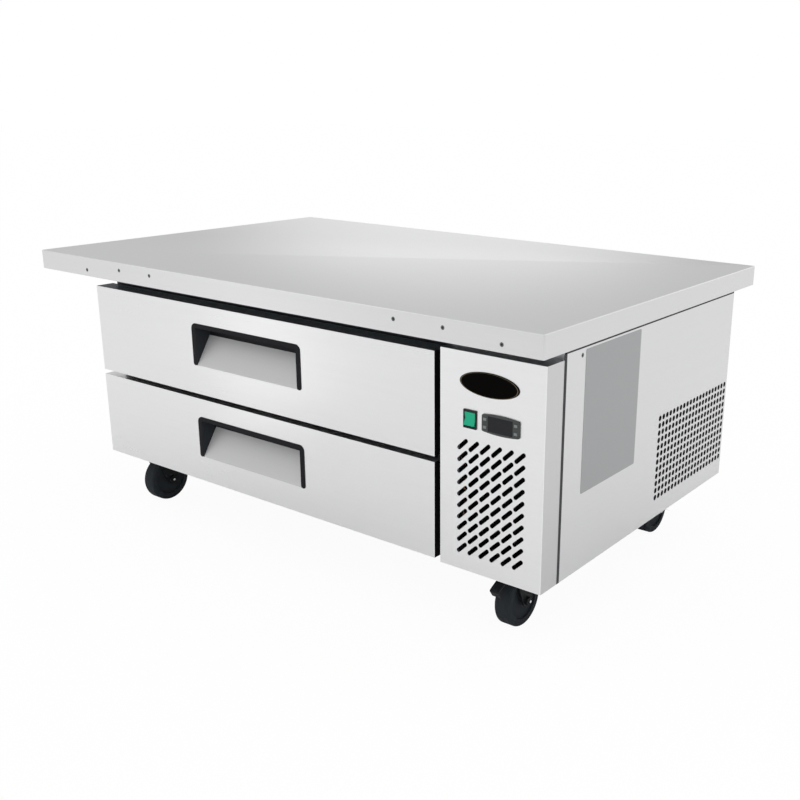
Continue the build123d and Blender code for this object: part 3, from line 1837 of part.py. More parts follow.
plates = []
for corner, (caster_x, caster_y) in caster_places.items():
    plates.extend(caster_plate(caster_x, caster_y))
    braked = corner == braked_corner
    save("caster_fork_" + corner, *caster_fork(caster_x, caster_y, braked))
    save("caster_wheel_" + corner, *caster_wheel(caster_x, caster_y))
    if braked:
        save("brake_pedal_" + corner, brake_pedal(caster_x, caster_y))
save("caster_plates", *plates)
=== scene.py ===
import bpy
import bmesh
import json
import math
from mathutils import Matrix, Vector

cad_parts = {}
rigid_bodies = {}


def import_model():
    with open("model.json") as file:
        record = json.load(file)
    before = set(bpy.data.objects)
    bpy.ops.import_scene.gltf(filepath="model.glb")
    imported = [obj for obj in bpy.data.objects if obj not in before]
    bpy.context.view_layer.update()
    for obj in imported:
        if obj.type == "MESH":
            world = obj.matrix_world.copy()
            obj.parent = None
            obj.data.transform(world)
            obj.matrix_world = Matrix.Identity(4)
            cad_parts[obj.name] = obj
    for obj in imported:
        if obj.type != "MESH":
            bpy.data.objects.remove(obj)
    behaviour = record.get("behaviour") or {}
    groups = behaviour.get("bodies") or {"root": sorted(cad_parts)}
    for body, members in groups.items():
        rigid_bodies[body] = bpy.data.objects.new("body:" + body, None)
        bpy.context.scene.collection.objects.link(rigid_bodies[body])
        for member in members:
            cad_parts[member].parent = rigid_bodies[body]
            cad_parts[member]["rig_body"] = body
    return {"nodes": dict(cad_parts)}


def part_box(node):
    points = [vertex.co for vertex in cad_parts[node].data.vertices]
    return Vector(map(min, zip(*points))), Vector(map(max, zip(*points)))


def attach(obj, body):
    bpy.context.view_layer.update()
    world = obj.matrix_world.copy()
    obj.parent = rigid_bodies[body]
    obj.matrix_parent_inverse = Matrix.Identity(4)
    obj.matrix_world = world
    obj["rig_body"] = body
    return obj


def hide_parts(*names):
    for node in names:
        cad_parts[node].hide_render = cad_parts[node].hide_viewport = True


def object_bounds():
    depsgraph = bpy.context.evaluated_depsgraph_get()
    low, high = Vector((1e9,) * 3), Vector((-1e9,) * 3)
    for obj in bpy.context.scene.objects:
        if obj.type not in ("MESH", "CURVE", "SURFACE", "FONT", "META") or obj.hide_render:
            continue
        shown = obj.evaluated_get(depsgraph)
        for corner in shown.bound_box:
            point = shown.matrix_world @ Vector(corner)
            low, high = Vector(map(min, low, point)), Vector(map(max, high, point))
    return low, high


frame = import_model()
packed_box = [list(corner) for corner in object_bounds()]
nodes = frame["nodes"]

# Camera
# It stands before the right-hand corner and looks a little down on the worktop. Its lens and the middle
# of its picture are those of the photograph, in pixels. Lengths are in metres and angles in radians.
picture_side = 800
focal_pixels = 1026.148
middle_pixel = (481.232, 412.83)
sensor_width = 36
camera_place = (1.472654, -1.70412, 0.910439)
camera_turn = 0.623
camera_fall = 0.304
camera_lean = 0.013

view_camera = bpy.data.objects.new("view_camera", bpy.data.cameras.new("view_camera"))
bpy.context.scene.collection.objects.link(view_camera)
bpy.context.scene.camera = view_camera
ahead = Vector((
    -math.sin(camera_turn) * math.cos(camera_fall),
    math.cos(camera_turn) * math.cos(camera_fall),
    -math.sin(camera_fall),
))
level_right = Vector((math.cos(camera_turn), math.sin(camera_turn), 0))
level_up = level_right.cross(ahead)
leaning_right = math.cos(camera_lean) * level_right + math.sin(camera_lean) * level_up
leaning_up = leaning_right.cross(ahead)
view_axes = Matrix((leaning_right, leaning_up, -ahead)).transposed()
view_camera.matrix_world = Matrix.Translation(camera_place) @ view_axes.to_4x4()
view_camera.data.sensor_width = sensor_width
view_camera.data.lens = sensor_width * focal_pixels / picture_side
view_camera.data.shift_x = 0.5 - middle_pixel[0] / picture_side
view_camera.data.shift_y = middle_pixel[1] / picture_side - 0.5

# Worktop
# A stainless sheet turned down all round over a board, with its grain brushed along the length. The
# corners are welded and ground smooth, so the skin is one piece.
folded_edge = 0.0004
# The share of a face's normal along an axis, from which it lies flat to it or under which it is edge-on.
flat_share = 0.985
edge_on_share = 0.1


def add_node(tree, kind, inputs=None, **settings):
    """One node, with its settings, and its inputs as values or as links."""
    made = tree.nodes.new(kind)
    for name, value in settings.items():
        setattr(made, name, value)
    for name, value in (inputs or {}).items():
        if isinstance(value, bpy.types.NodeSocket):
            tree.links.new(value, made.inputs[name])
        else:
            made.inputs[name].default_value = value
    return made


def reckon(tree, operation, *values):
    """What one step of arithmetic makes of its values."""
    return add_node(tree, "ShaderNodeMath", dict(enumerate(values)), operation=operation).outputs[0]


def blend(tree, share, first, second):
    """A number that goes from the first to the second as the share goes from none to all."""
    return add_node(tree, "ShaderNodeMix", {0: share, 2: first, 3: second}).outputs[0]


def new_tree(kind, name, inputs, outputs):
    """An empty node tree with named inputs and outputs, and the sockets of its two ends."""
    tree = bpy.data.node_groups.new(name, kind)
    for way, sockets in (("INPUT", inputs), ("OUTPUT", outputs)):
        for label, socket_kind in sockets.items():
            tree.interface.new_socket(label, in_out=way, socket_type="NodeSocket" + socket_kind)
    return tree, tree.nodes.new("NodeGroupInput").outputs, tree.nodes.new("NodeGroupOutput").inputs


def surface_group(name, sizes):
    """A group that turns a colour and a roughness into ones that change over the surface."""
    inputs = {
        "Place": "Vector",
        "Colour": "Color",
        "Colour spread": "Float",
        "Roughness": "Float",
        "Roughness spread": "Float",
    }
    outputs = {"Colour": "Color", "Roughness": "Float", "Height": "Float"}
    return new_tree("ShaderNodeTree", name, {**inputs, **sizes}, outputs)


def finish_group(group, given, result, pattern, height):
    """Spreads the colour and the roughness by a pattern about its middle."""
    pattern_middle = 0.5
    offset = reckon(group, "SUBTRACT", pattern, pattern_middle)
    gain = reckon(group, "MULTIPLY_ADD", offset, given["Colour spread"], 1.0)
    colour = add_node(
        group, "ShaderNodeVectorMath", {0: given["Colour"], "Scale": gain}, operation="SCALE"
    )
    roughness = reckon(group, "MULTIPLY_ADD", offset, given["Roughness spread"], given["Roughness"])
    group.links.new(colour.outputs[0], result["Colour"])
    group.links.new(roughness, result["Roughness"])
    group.links.new(height, result["Height"])
    return group


def brushed_grain_group():
    """Fine lines, wider bands and slow clouds, as a belt leaves them on sheet steel."""
    line_detail = 3.0
    band_scale = 0.11
    band_share = 0.4
    cloud_scale = 2.5
    cloud_share = 0.35
    group, given, result = surface_group("brushed_grain", {"Stretch": "Vector"})
    lined = add_node(
        group, "ShaderNodeVectorMath", {0: given["Place"], 1: given["Stretch"]}, operation="MULTIPLY"
    ).outputs[0]
    banded = add_node(
        group, "ShaderNodeVectorMath", {0: lined, "Scale": band_scale}, operation="SCALE"
    ).outputs[0]
    lines = add_node(
        group, "ShaderNodeTexNoise", {"Vector": lined, "Scale": 1.0, "Detail": line_detail}
    ).outputs[0]
    bands = add_node(group, "ShaderNodeTexNoise", {"Vector": banded, "Scale": 1.0}).outputs[0]
    clouds = add_node(
        group, "ShaderNodeTexNoise", {"Vector": given["Place"], "Scale": cloud_scale}
    ).outputs[0]
    pattern = blend(group, cloud_share, blend(group, band_share, lines, bands), clouds)
    return finish_group(group, given, result, pattern, lines)


def speckled_group():
    """A fine even speckle over slow clouds, as on moulded plastic, paint, board and rubber."""
    grain_detail = 3.0
    cloud_scale = 22.0
    cloud_share = 0.5
    group, given, result = surface_group("speckled", {"Grains": "Float"})
    grains = add_node(
        group,
        "ShaderNodeTexNoise",
        {"Vector": given["Place"], "Scale": given["Grains"], "Detail": grain_detail},
    ).outputs[0]
    clouds = add_node(
        group, "ShaderNodeTexNoise", {"Vector": given["Place"], "Scale": cloud_scale}
    ).outputs[0]
    return finish_group(group, given, result, blend(group, cloud_share, grains, clouds), grains)


brushed_grain = brushed_grain_group()
speckled = speckled_group()


def new_material(name):
    """A material and its node tree."""
    material = bpy.data.materials.new(name)
    material.use_nodes = True
    return material, material.node_tree


def finish(name, group, colour, roughness, spreads, bump, sizes, metallic=0.0, shine=0.5):
    """A material whose colour, roughness and bump come from a surface group.

    The spreads are those of the colour and of the roughness, and the bump is a strength and a depth.
    """
    material, tree = new_material(name)
    shader = tree.nodes["Principled BSDF"]
    surface = add_node(tree, "ShaderNodeGroup", node_tree=group)
    values = {
        "Colour": (*colour, 1),
        "Colour spread": spreads[0],
        "Roughness": roughness,
        "Roughness spread": spreads[1],
        **sizes,
    }
    for label, value in values.items():
        surface.inputs[label].default_value = value
    place = tree.nodes.new("ShaderNodeTexCoord").outputs["Object"]
    tree.links.new(place, surface.inputs["Place"])
    relief = add_node(
        tree,
        "ShaderNodeBump",
        {"Height": surface.outputs["Height"], "Strength": bump[0], "Distance": bump[1]},
    )
    tree.links.new(surface.outputs["Colour"], shader.inputs["Base Color"])
    tree.links.new(surface.outputs["Roughness"], shader.inputs["Roughness"])
    tree.links.new(relief.outputs["Normal"], shader.inputs["Normal"])
    shader.inputs["Metallic"].default_value = metallic
    shader.inputs["Specular IOR Level"].default_value = shine
    return material


def brushed(name, colour, stretch, roughness=0.33, spreads=(0.10, 0.14), metallic=1.0, shine=0.5):
    """Metal sheet whose grain runs along the axis with the smallest stretch."""
    shallow = (0.1, 0.0001)
    sizes = {"Stretch": stretch}
    return finish(name, brushed_grain, colour, roughness, spreads, shallow, sizes, metallic, shine)


def moulded(name, colour, roughness=0.45, grains=900.0, spreads=(0.25, 0.15), bump=(0.15, 0.0002), **shader):
    """Plastic, paint, rubber or board with a fine speckle."""
    return finish(name, speckled, colour, roughness, spreads, bump, {"Grains": grains}, **shader)


def paint(piece, *materials):
    """Gives a piece its materials in the order that its faces count them."""
    if piece.data.materials:
        piece.data.materials.clear()
    for material in materials:
        piece.data.materials.append(material)


def dress(material, *names):
    """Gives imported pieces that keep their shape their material."""
    for name in names:
        paint(nodes[name], material)


def new_piece(name, mesh):
    """A piece with the mesh given, in the scene."""
    piece = bpy.data.objects.new(name, mesh)
    bpy.context.scene.collection.objects.link(piece)
    return piece


def as_plain_mesh(piece):
    """Turns what a piece's modifiers make into its plain mesh."""
    bpy.context.view_layer.update()
    graph = bpy.context.evaluated_depsgraph_get()
    made = bpy.data.meshes.new_from_object(piece.evaluated_get(graph))
    piece.modifiers.clear()
    piece.data = made
    return piece


def stand_in(piece, *names):
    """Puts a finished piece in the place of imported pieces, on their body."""
    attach(piece, nodes[names[0]]["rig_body"])
    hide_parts(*names)


def merged(name):
    """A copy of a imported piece's mesh with its loose triangles joined to whole faces."""
    same_place = 0.000002
    same_plane = math.radians(0.5)
    mesh = nodes[name].data.copy()
    if "custom_normal" in mesh.attributes:
        mesh.attributes.remove(mesh.attributes["custom_normal"])
    build = bmesh.new()
    build.from_mesh(mesh)
    bmesh.ops.remove_doubles(build, verts=build.verts, dist=same_place)
    bmesh.ops.dissolve_limit(build, angle_limit=same_plane, verts=build.verts, edges=build.edges)
    build.to_mesh(mesh)
    build.free()
    return mesh


def separate_bodies(build):
    """The faces of each separate body in a mesh under work."""
    left = set(build.faces)
    bodies = []
    while left:
        body = []
        waiting = [left.pop()]
        while waiting:
            face = waiting.pop()
            body.append(face)
            for edge in face.edges:
                for neighbour in edge.link_faces:
                    if neighbour in left:
                        left.remove(neighbour)
                        waiting.append(neighbour)
        bodies.append(body)
    return bodies


def box_of(faces):
    """The low and the high corner of the box round some faces."""
    places = [vertex.co for face in faces for vertex in face.verts]
    return tuple(Vector(pick(place[axis] for place in places) for axis in range(3)) for pick in (min, max))


def dress_bodies(piece, pick):
    """Gives each separate body of a piece the material whose number its box picks."""
    build = bmesh.new()
    build.from_mesh(piece.data)
    for body in separate_bodies(build):
        number = pick(*box_of(body))
        for face in body:
            face.material_index = number
    build.to_mesh(piece.data)
    build.free()


def soften(name, *materials, radius=0.0, segments=2, by_face=None, by_body=None):
    """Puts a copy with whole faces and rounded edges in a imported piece's place.

    The number of a face's material comes from its normal or from the box of the body it is on.
    """
    sharp = math.radians(32)
    mesh = merged(name)
    mesh.shade_smooth()
    mesh.set_sharp_from_angle(angle=sharp)
    piece = new_piece(name + "_finished", mesh)
    paint(piece, *materials)
    if radius > 0:
        bevel = piece.modifiers.new("edges", "BEVEL")
        bevel.width = radius
        bevel.segments = segments
        bevel.limit_method = "ANGLE"
        bevel.angle_limit = sharp
        bevel.harden_normals = True
    as_plain_mesh(piece)
    if by_face:
        for face in piece.data.polygons:
            face.material_index = by_face(face.normal)
    if by_body:
        dress_bodies(piece, by_body)
    stand_in(piece, name)


def is_bent(normal, axis):
    """One for a face that bends away from an axis, and nought for one that lies flat or edge-on to it."""
    return int(edge_on_share < abs(normal[axis]) < flat_share)


def worktop_face(normal):
    """The flat has the first material, the bends the second, lighter as a painted highlight, and the apron
    the third, a lighter copy of the flat's steel as painted light.
    """
    return 2 if abs(normal.z) < edge_on_share else is_bent(normal, 2)


worktop_steel = brushed(
    "worktop_steel", colour=(0.672, 0.672, 0.677), stretch=(18, 900, 900), roughness=0.3
)
# The worktop's bends are lighter than its flat: a painted highlight along the edges.
rim_highlight_steel = brushed("rim_highlight_steel", colour=(0.80, 0.80, 0.805), stretch=(300, 300, 300), roughness=0.34)
# The apron is a lighter copy of the flat's steel, painted light by the way it faces.
apron_lit_steel = brushed("apron_lit_steel", colour=(0.71, 0.71, 0.715), stretch=(18, 18, 900), roughness=0.36)
# The board is coloured dark blue-grey as painted shade: the drawers' top edges mirror it in the gap under
# the worktop.
board_shade_dark = moulded(
    "board_shade_dark",
    colour=(0.030, 0.036, 0.044),
    roughness=0.8,
    grains=260.0,
    spreads=(0.5, 0.1),
    bump=(0.3, 0.0004),
    shine=0.2,
)
soften("worktop_skin", worktop_steel, rim_highlight_steel, apron_lit_steel, radius=folded_edge, by_face=worktop_face)
dress(board_shade_dark, "worktop_core")

# Base plate
# A thick galvanised sheet under the whole cabinet. Pads that take the casters' bolts are welded on it, and
# a tongue at its front carries the machine compartment's front panel.
zinc_edge = 0.0003


def spangled_group():
    """The flat crystals of hot-dip zinc, each a little lighter or darker."""
    group, given, result = surface_group("spangled", {"Crystals": "Float"})
    cells = add_node(
        group, "ShaderNodeTexVoronoi", {"Vector": given["Place"], "Scale": given["Crystals"]}
    )
    tone = add_node(group, "ShaderNodeSeparateColor", {0: cells.outputs["Color"]}).outputs[0]
    return finish_group(group, given, result, tone, tone)


zinc_sheet = finish(
    "zinc_sheet",
    spangled_group(),
    colour=(0.50, 0.52, 0.54),
    roughness=0.42,
    spreads=(0.28, 0.2),
    bump=(0.05, 0.0002),
    sizes={"Crystals": 90.0},
    metallic=1.0,
)
soften("base_plate", zinc_sheet, radius=zinc_edge)

# Cold box
# A steel casing and a steel liner with foam between them, closed at the front by a dark plastic frame
# that the drawers' seals meet.
breaker_edge = 0.001
casing_steel = brushed("casing_steel", colour=(0.68, 0.68, 0.685), stretch=(900, 16, 900))
liner_steel = brushed("liner_steel", colour=(0.62, 0.63, 0.64), stretch=(900, 14, 900), roughness=0.38)
foam_yellow = moulded(
    "foam_yellow",
    colour=(0.72, 0.62, 0.36),
    roughness=0.9,
    grains=420.0,
    spreads=(0.3, 0.05),
    bump=(0.5, 0.0008),
)
# The frame's plastic is lighter and bluer than near black: painted light that lifts the shade in the gap
# under the worktop.
frame_lifted_plastic = moulded("frame_lifted_plastic", colour=(0.055, 0.064, 0.074), roughness=0.55, shine=0.08)
dress(casing_steel, "cabinet_casing")
dress(liner_steel, "cabinet_liner")
dress(foam_yellow, "cabinet_insulation")
soften("breaker_frame", frame_lifted_plastic, radius=breaker_edge)

# Drawer slides
# Zinc-plated steel channels that run in one another. The outer ones are fixed to the cabinet, and the
# middle ones travel half as far as the drawer.
slide_zinc = brushed(
    "slide_zinc", colour=(0.55, 0.56, 0.55), stretch=(700, 12, 700), roughness=0.3, spreads=(0.2, 0.2)
)
for name in ("slide_rails", "upper_slide_middles", "lower_slide_middles"):
    soften(name, slide_zinc, radius=folded_edge)

# Pan frames
# Welded stainless frames, open where the food pans hang by their rims. Each carries the inner channels of
# its drawer's slides.
for name in ("upper_pan_frame", "lower_pan_frame"):
    soften(name, liner_steel, radius=folded_edge)

# Drawer fronts
# A folded stainless skin over foam, with a steel liner at its back. Its bends are lighter, a painted
# highlight, and its right edge is black, painted shade for the gap beside the front panel. A soft magnetic
# seal runs round the back and meets the cabinet.
front_steel = brushed("front_steel", colour=(0.78, 0.78, 0.785), stretch=(16, 800, 800), roughness=0.29)
# A light, half-metallic copy of the steel for the folded edges of the drawers and the front panel: a painted
# highlight.
bend_highlight_steel = brushed(
    "bend_highlight_steel",
    colour=(0.97, 0.97, 0.975),
    stretch=(300, 300, 300),
    roughness=0.35,
    metallic=0.35,
    shine=0.4,
)
# Near black as painted shade. It colours the drawers' right edges and the front panel's left side, which
# face each other across the gap, and the frame's faces seen through the side panel's seams.
gap_shade_black = moulded("gap_shade_black", colour=(0.006, 0.006, 0.007), roughness=0.7, shine=0.1)
seal_grey = moulded("seal_grey", colour=(0.10, 0.10, 0.105), roughness=0.6, grains=1200.0)
# The seal's side view, as places from its outer edge and from the drawer's back, in millimetres.
seal_profile = (
    (0.3, 0.0), (0.0, 0.6), (0.0, 2.4), (0.6, 3.0), (2.4, 3.0), (3.2, 3.7), (2.3, 4.6), (2.3, 5.2),
    (3.4, 6.0), (1.8, 6.8), (1.6, 8.8), (2.6, 9.9), (8.4, 9.9), (9.4, 8.8), (9.2, 6.8), (7.6, 6.0),
    (8.7, 5.2), (8.7, 4.6), (7.8, 3.7), (8.6, 3.0), (10.4, 3.0), (11.0, 2.4), (11.0, 0.6), (10.7, 0.0),
)
seal_crease = math.radians(50)
millimetre = 0.001
# The share of a face's normal along an axis, from which it looks squarely that way.
square_share = 0.9


def drawer_face(normal):
    """The flat front has the first material, the bends the second, a painted highlight, and the right edge
    the third, black as painted shade.
    """
    return 2 if normal.x > square_share else is_bent(normal, 1)


def built_piece(name, build, crease=None):
    """A piece from a mesh under work, with its faces outwards, and smooth up to a crease's angle."""
    bmesh.ops.recalc_face_normals(build, faces=build.faces)
    mesh = bpy.data.meshes.new(name)
    build.to_mesh(mesh)
    build.free()
    if crease:
        mesh.shade_smooth()
        mesh.set_sharp_from_angle(angle=crease)
    return new_piece(name, mesh)


def mitred_ring(name, low, high, profile, crease):
    """A seal that runs round an upright rectangle, mitred at its corners and facing backwards."""
    build = bmesh.new()
    rings = []
    for inset, rise in profile:
        x_low, x_high = low.x + inset * millimetre, high.x - inset * millimetre
        z_low, z_high = low.z + inset * millimetre, high.z - inset * millimetre
        y = low.y + rise * millimetre
        corners = ((x_low, z_low), (x_high, z_low), (x_high, z_high), (x_low, z_high))
        rings.append([build.verts.new((x, y, z)) for x, z in corners])
    for near, far in zip(rings, rings[1:] + rings[:1]):
        for index in range(4):
            after = (index + 1) % 4
            build.faces.new((near[index], near[after], far[after], far[index]))
    return built_piece(name, build, crease)


for level in ("upper", "lower"):
    soften(
        level + "_drawer_skin",
        front_steel,
        bend_highlight_steel,
        gap_shade_black,
        radius=folded_edge,
        by_face=drawer_face,
    )
    soften(level + "_drawer_liner", liner_steel, radius=folded_edge)
    dress(foam_yellow, level + "_drawer_foam")
    seal = mitred_ring(level + "_seal", *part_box(level + "_drawer_gasket"), seal_profile, seal_crease)
    paint(seal, seal_grey)
    stand_in(seal, level + "_drawer_gasket")

# Drawer pulls
# A black plastic surround on three sides of a pocket in the drawer's front. Its forward rim is a darker
# copy of the plastic and its inner walls a lighter one, painted shade and painted light. A sloping stainless
# plate rises from the front to the back of the pocket.
pull_edge = 0.0005
rim_share = 0.5
scoop_steel = brushed(
    "scoop_steel",
    colour=(0.58, 0.58, 0.585),
    stretch=(14, 800, 800),
    roughness=0.5,
    metallic=0.25,
    shine=0.3,
)


def pull_plastic(name, colour):
    """The textured plastic of the pulls, in a colour of its own."""
    return moulded(
        name, colour, roughness=0.5, grains=1100.0, spreads=(0.3, 0.2), bump=(0.2, 0.0003), shine=0.07
    )


def pull_face(normal):
    """The second material is for the rim, which looks forward: a darker copy of the plastic, painted shade.
    """
    return int(-normal.y > rim_share)


# The inner walls' plastic is lighter than the rim's: painted light inside the pocket.
pull_black = pull_plastic("pull_black", colour=(0.028, 0.032, 0.037))
rim_shade_black = pull_plastic("rim_shade_black", colour=(0.012, 0.012, 0.014))
for level in ("upper", "lower"):
    soften(level + "_handle_frame", pull_black, rim_shade_black, radius=pull_edge, by_face=pull_face)
    dress(scoop_steel, level + "_handle_scoop")

# Machine frame
# Folded galvanised posts and rails that carry the panels and the worktop's right end. The faces that the
# side panel lies against are black, painted shade for what is seen through its seams.


def seam_shade_face(normal):
    """The second material, black as painted shade for the seams, is for the faces that look to the right."""
    return int(normal.x > square_share)


soften("machine_frame", zinc_sheet, gap_shade_black, radius=zinc_edge, by_face=seam_shade_face)

# Side panel
# One stainless sheet with a field of punched holes, each with the small rounded rim of the punch. It also
# has a flat bare grey plate, dark rubber strips in its seams that stand for the seams' shade as painted
# shade, and a black foam dust filter behind its holes that also darkens them as painted shade.
side_steel = brushed("side_steel", colour=(0.715, 0.715, 0.72), stretch=(900, 16, 900), roughness=0.32)
hole_columns = 21
hole_rows = 12
hole_pitch_across = 0.0151
hole_pitch_up = 0.0147
hole_size = 0.0116
hole_rear_inset = 0.011
hole_bottom_inset = 0.042
rim_radius = 0.00028
quarter_turn = math.radians(90)


def end_growth(tree, geometry, material, result):
    """Ends a geometry tree in real geometry that has its material."""
    real = add_node(tree, "GeometryNodeRealizeInstances", {"Geometry": geometry}).outputs[0]
    coloured = add_node(tree, "GeometryNodeSetMaterial", {"Geometry": real, "Material": material})
    tree.links.new(coloured.outputs[0], result[0])
    return tree


def rim_field_tree():
    """Rounded rims round a field of equal holes, as a tree with its sizes as inputs."""
    # The share of a hole's width that its rounded ends take, a little under half so that a side is left.
    rounded_share = 0.499
    corner_points = 4
    section_points = 5
    inputs = {
        "Columns": "Int",
        "Rows": "Int",
        "Pitch across": "Float",
        "Pitch up": "Float",
        "Hole length": "Float",
        "Hole width": "Float",
        "Slant": "Float",
        "Rim radius": "Float",
        "Middle": "Vector",
        "Turn": "Vector",
        "Material": "Material",
    }
    tree, given, result = new_tree("GeometryNodeTree", "rim_field", inputs, {"Rims": "Geometry"})
    spans = []
    for count, pitch in (("Columns", "Pitch across"), ("Rows", "Pitch up")):
        spans.append(reckon(tree, "MULTIPLY", reckon(tree, "SUBTRACT", given[count], 1), given[pitch]))
    grid = add_node(
        tree,
        "GeometryNodeMeshGrid",
        {
            "Size X": spans[0],
            "Size Y": spans[1],
            "Vertices X": given["Columns"],
            "Vertices Y": given["Rows"],
        },
    )
    outline = add_node(
        tree,
        "GeometryNodeCurvePrimitiveQuadrilateral",
        {"Width": given["Hole length"], "Height": given["Hole width"]},
    )
    rounding = reckon(tree, "MULTIPLY", given["Hole width"], rounded_share)
    rounded = add_node(
        tree,
        "GeometryNodeFilletCurve",
        {"Curve": outline.outputs[0], "Radius": rounding, "Count": corner_points},
        mode="POLY",
    )
    section = add_node(
        tree,
        "GeometryNodeCurvePrimitiveCircle",
        {"Resolution": section_points, "Radius": given["Rim radius"]},
    )
    rim = add_node(
        tree,
        "GeometryNodeCurveToMesh",
        {"Curve": rounded.outputs[0], "Profile Curve": section.outputs[0]},
    )
    slant = add_node(tree, "ShaderNodeCombineXYZ", {"Z": given["Slant"]})
    field = add_node(
        tree,
        "GeometryNodeInstanceOnPoints",
        {"Points": grid.outputs[0], "Instance": rim.outputs[0], "Rotation": slant.outputs[0]},
    )
    placed = add_node(
        tree,
        "GeometryNodeTransform",
        {"Geometry": field.outputs[0], "Translation": given["Middle"], "Rotation": given["Turn"]},
    )
    return end_growth(tree, placed.outputs[0], given["Material"], result)


rim_field = rim_field_tree()


def grown(name, tree, sizes, mesh=None):
    """The plain piece that a geometry tree makes with the sizes given."""
    piece = new_piece(name, mesh or bpy.data.meshes.new(name))
    growth = piece.modifiers.new("growth", "NODES")
    growth.node_group = tree
    for item in tree.interface.items_tree:
        if item.item_type == "SOCKET" and item.in_out == "INPUT" and item.name in sizes:
            growth[item.identifier] = sizes[item.name]
    return as_plain_mesh(piece)


def add_detail(piece, body):
    """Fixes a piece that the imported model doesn't have to a body."""
    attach(piece, body)


def add_rims(name, sizes, material):
    """Puts rounded rims round the punched holes of one of the cabinet's panels."""
    rims = grown(name, rim_field, {**sizes, "Rim radius": rim_radius, "Material": material})
    rims.data.shade_smooth()
    add_detail(rims, "cabinet")


side_low, side_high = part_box("side_panel")
dress(side_steel, "side_panel")
side_holes = {
    "Columns": hole_columns,
    "Rows": hole_rows,
    "Pitch across": hole_pitch_across,
    "Pitch up": hole_pitch_up,
    "Hole length": hole_size,
    "Hole width": hole_size,
    "Slant": 0.0,
    "Middle": (
        side_high.x,
        side_high.y - hole_rear_inset - (hole_columns - 1) * hole_pitch_across / 2,
        side_low.z + hole_bottom_inset + (hole_rows - 1) * hole_pitch_up / 2,
    ),
    "Turn": (quarter_turn, 0.0, quarter_turn),
}
add_rims("side_hole_rims", side_holes, side_steel)

plate_grey = brushed(
    "plate_grey", colour=(0.40, 0.405, 0.41), stretch=(700, 700, 24), roughness=0.42
)
plate_front = -0.290
plate_rear = -0.0985
plate_bottom = 0.260
plate_top = 0.513
plate_sheet = 0.0004
plate_corner = 0.003


def thin_plate(name, corner_radius, low, high, x_near, x_far):
    """A flat upright plate with rounded corners that faces +X."""
    corner_steps = 6
    build = bmesh.new()
    outline = []
    for middle_y, middle_z, start in (
        (high[0] - corner_radius, high[1] - corner_radius, 0),
        (low[0] + corner_radius, high[1] - corner_radius, 1),
        (low[0] + corner_radius, low[1] + corner_radius, 2),
        (high[0] - corner_radius, low[1] + corner_radius, 3),
    ):
        for step in range(corner_steps + 1):
            angle = quarter_turn * (start + step / corner_steps)
            y = middle_y + corner_radius * math.cos(angle)
            z = middle_z + corner_radius * math.sin(angle)
            outline.append(build.verts.new((x_near, y, z)))
    face = build.faces.new(outline)
    raised = bmesh.ops.extrude_face_region(build, geom=[face])
    for item in raised["geom"]:
        if isinstance(item, bmesh.types.BMVert):
            item.co.x = x_far
    return built_piece(name, build)


bare_plate = thin_plate(
    "bare_plate",
    plate_corner,
    (plate_front, plate_bottom),
    (plate_rear, plate_top),
    side_high.x,
    side_high.x + plate_sheet,
)
paint(bare_plate, plate_grey)
add_detail(bare_plate, "cabinet")

# Dark strips set in the seams: painted shade that makes the seams read as dark gaps.
seam_shade_rubber = moulded(
    "seam_shade_rubber", colour=(0.058, 0.058, 0.06), roughness=0.7, grains=700.0, shine=0.1
)
seam_cover = 0.0012
seam_depth = 0.0008
seam_corner = 0.0002
front_seam_proud = 0.0002
top_seam_sunk = 0.0004
seam_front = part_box("grille_panel")[1].y
seam_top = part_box("worktop_skin")[0].z
for name, low, high, x_far in (
    (
        "front_seam_strip",
        (seam_front - seam_cover, side_low.z),
        (side_low.y + seam_cover, side_high.z),
        side_high.x + front_seam_proud,
    ),
    (
        "top_seam_strip",
        (side_low.y + seam_cover, side_high.z),
        (side_high.y, seam_top),
        side_high.x - top_seam_sunk,
    ),
):
    strip = thin_plate(name, seam_corner, low, high, side_high.x - seam_depth, x_far)
    paint(strip, seam_shade_rubber)
    add_detail(strip, "cabinet")

# A black foam filter behind the holes, near black so that the holes read dark: partly the filter's own
# colour and partly painted shade.
filter_shade_black = moulded(
    "filter_shade_black",
    colour=(0.012, 0.012, 0.012),
    roughness=0.95,
    grains=500.0,
    spreads=(0.6, 0.05),
    bump=(0.9, 0.0012),
    shine=0.05,
)
filter_sheet = 0.003
filter_gap = 0.0013
filter_corner = 0.004
filter_front = -0.012
filter_rear = 0.2975
filter_bottom = 0.146
filter_top = 0.336
dust_filter = thin_plate(
    "dust_filter",
    filter_corner,
    (filter_front, filter_bottom),
    (filter_rear, filter_top),
    side_high.x - filter_gap - filter_sheet,
    side_high.x - filter_gap,
)
paint(dust_filter, filter_shade_black)
add_detail(dust_filter, "cabinet")

# Rear panel and cord gland
# A galvanised sheet with upright slots, screwed to the machine frame, and the black plastic gland that a
# supply cord would leave by.
gland_edge = 0.0005
dress(zinc_sheet, "rear_panel")
soften("cord_gland", pull_black, radius=gland_edge)

# Front panel of the machine compartment
# A folded stainless tray, screwed to the base plate's tongue from below. Its slanted slots are punched,
# and each has a small rounded rim.
slot_columns = 6
slot_rows = 10
slot_pitch_across = 0.02306
slot_pitch_up = 0.0209
slot_length = 0.0280
slot_width = 0.0080
slot_slant = math.radians(44)
slot_from_left = 0.1053
slot_bottom_inset = 0.04145
panel_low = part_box("grille_panel")[0]
panel_steel = brushed("panel_steel", colour=(0.83, 0.83, 0.835), stretch=(16, 800, 800), roughness=0.34)
# The panel's right side is a darker copy of its steel: painted shade by the way it faces.
flank_shaded_steel = brushed("flank_shaded_steel", colour=(0.63, 0.625, 0.63), stretch=(900, 16, 16), roughness=0.34)


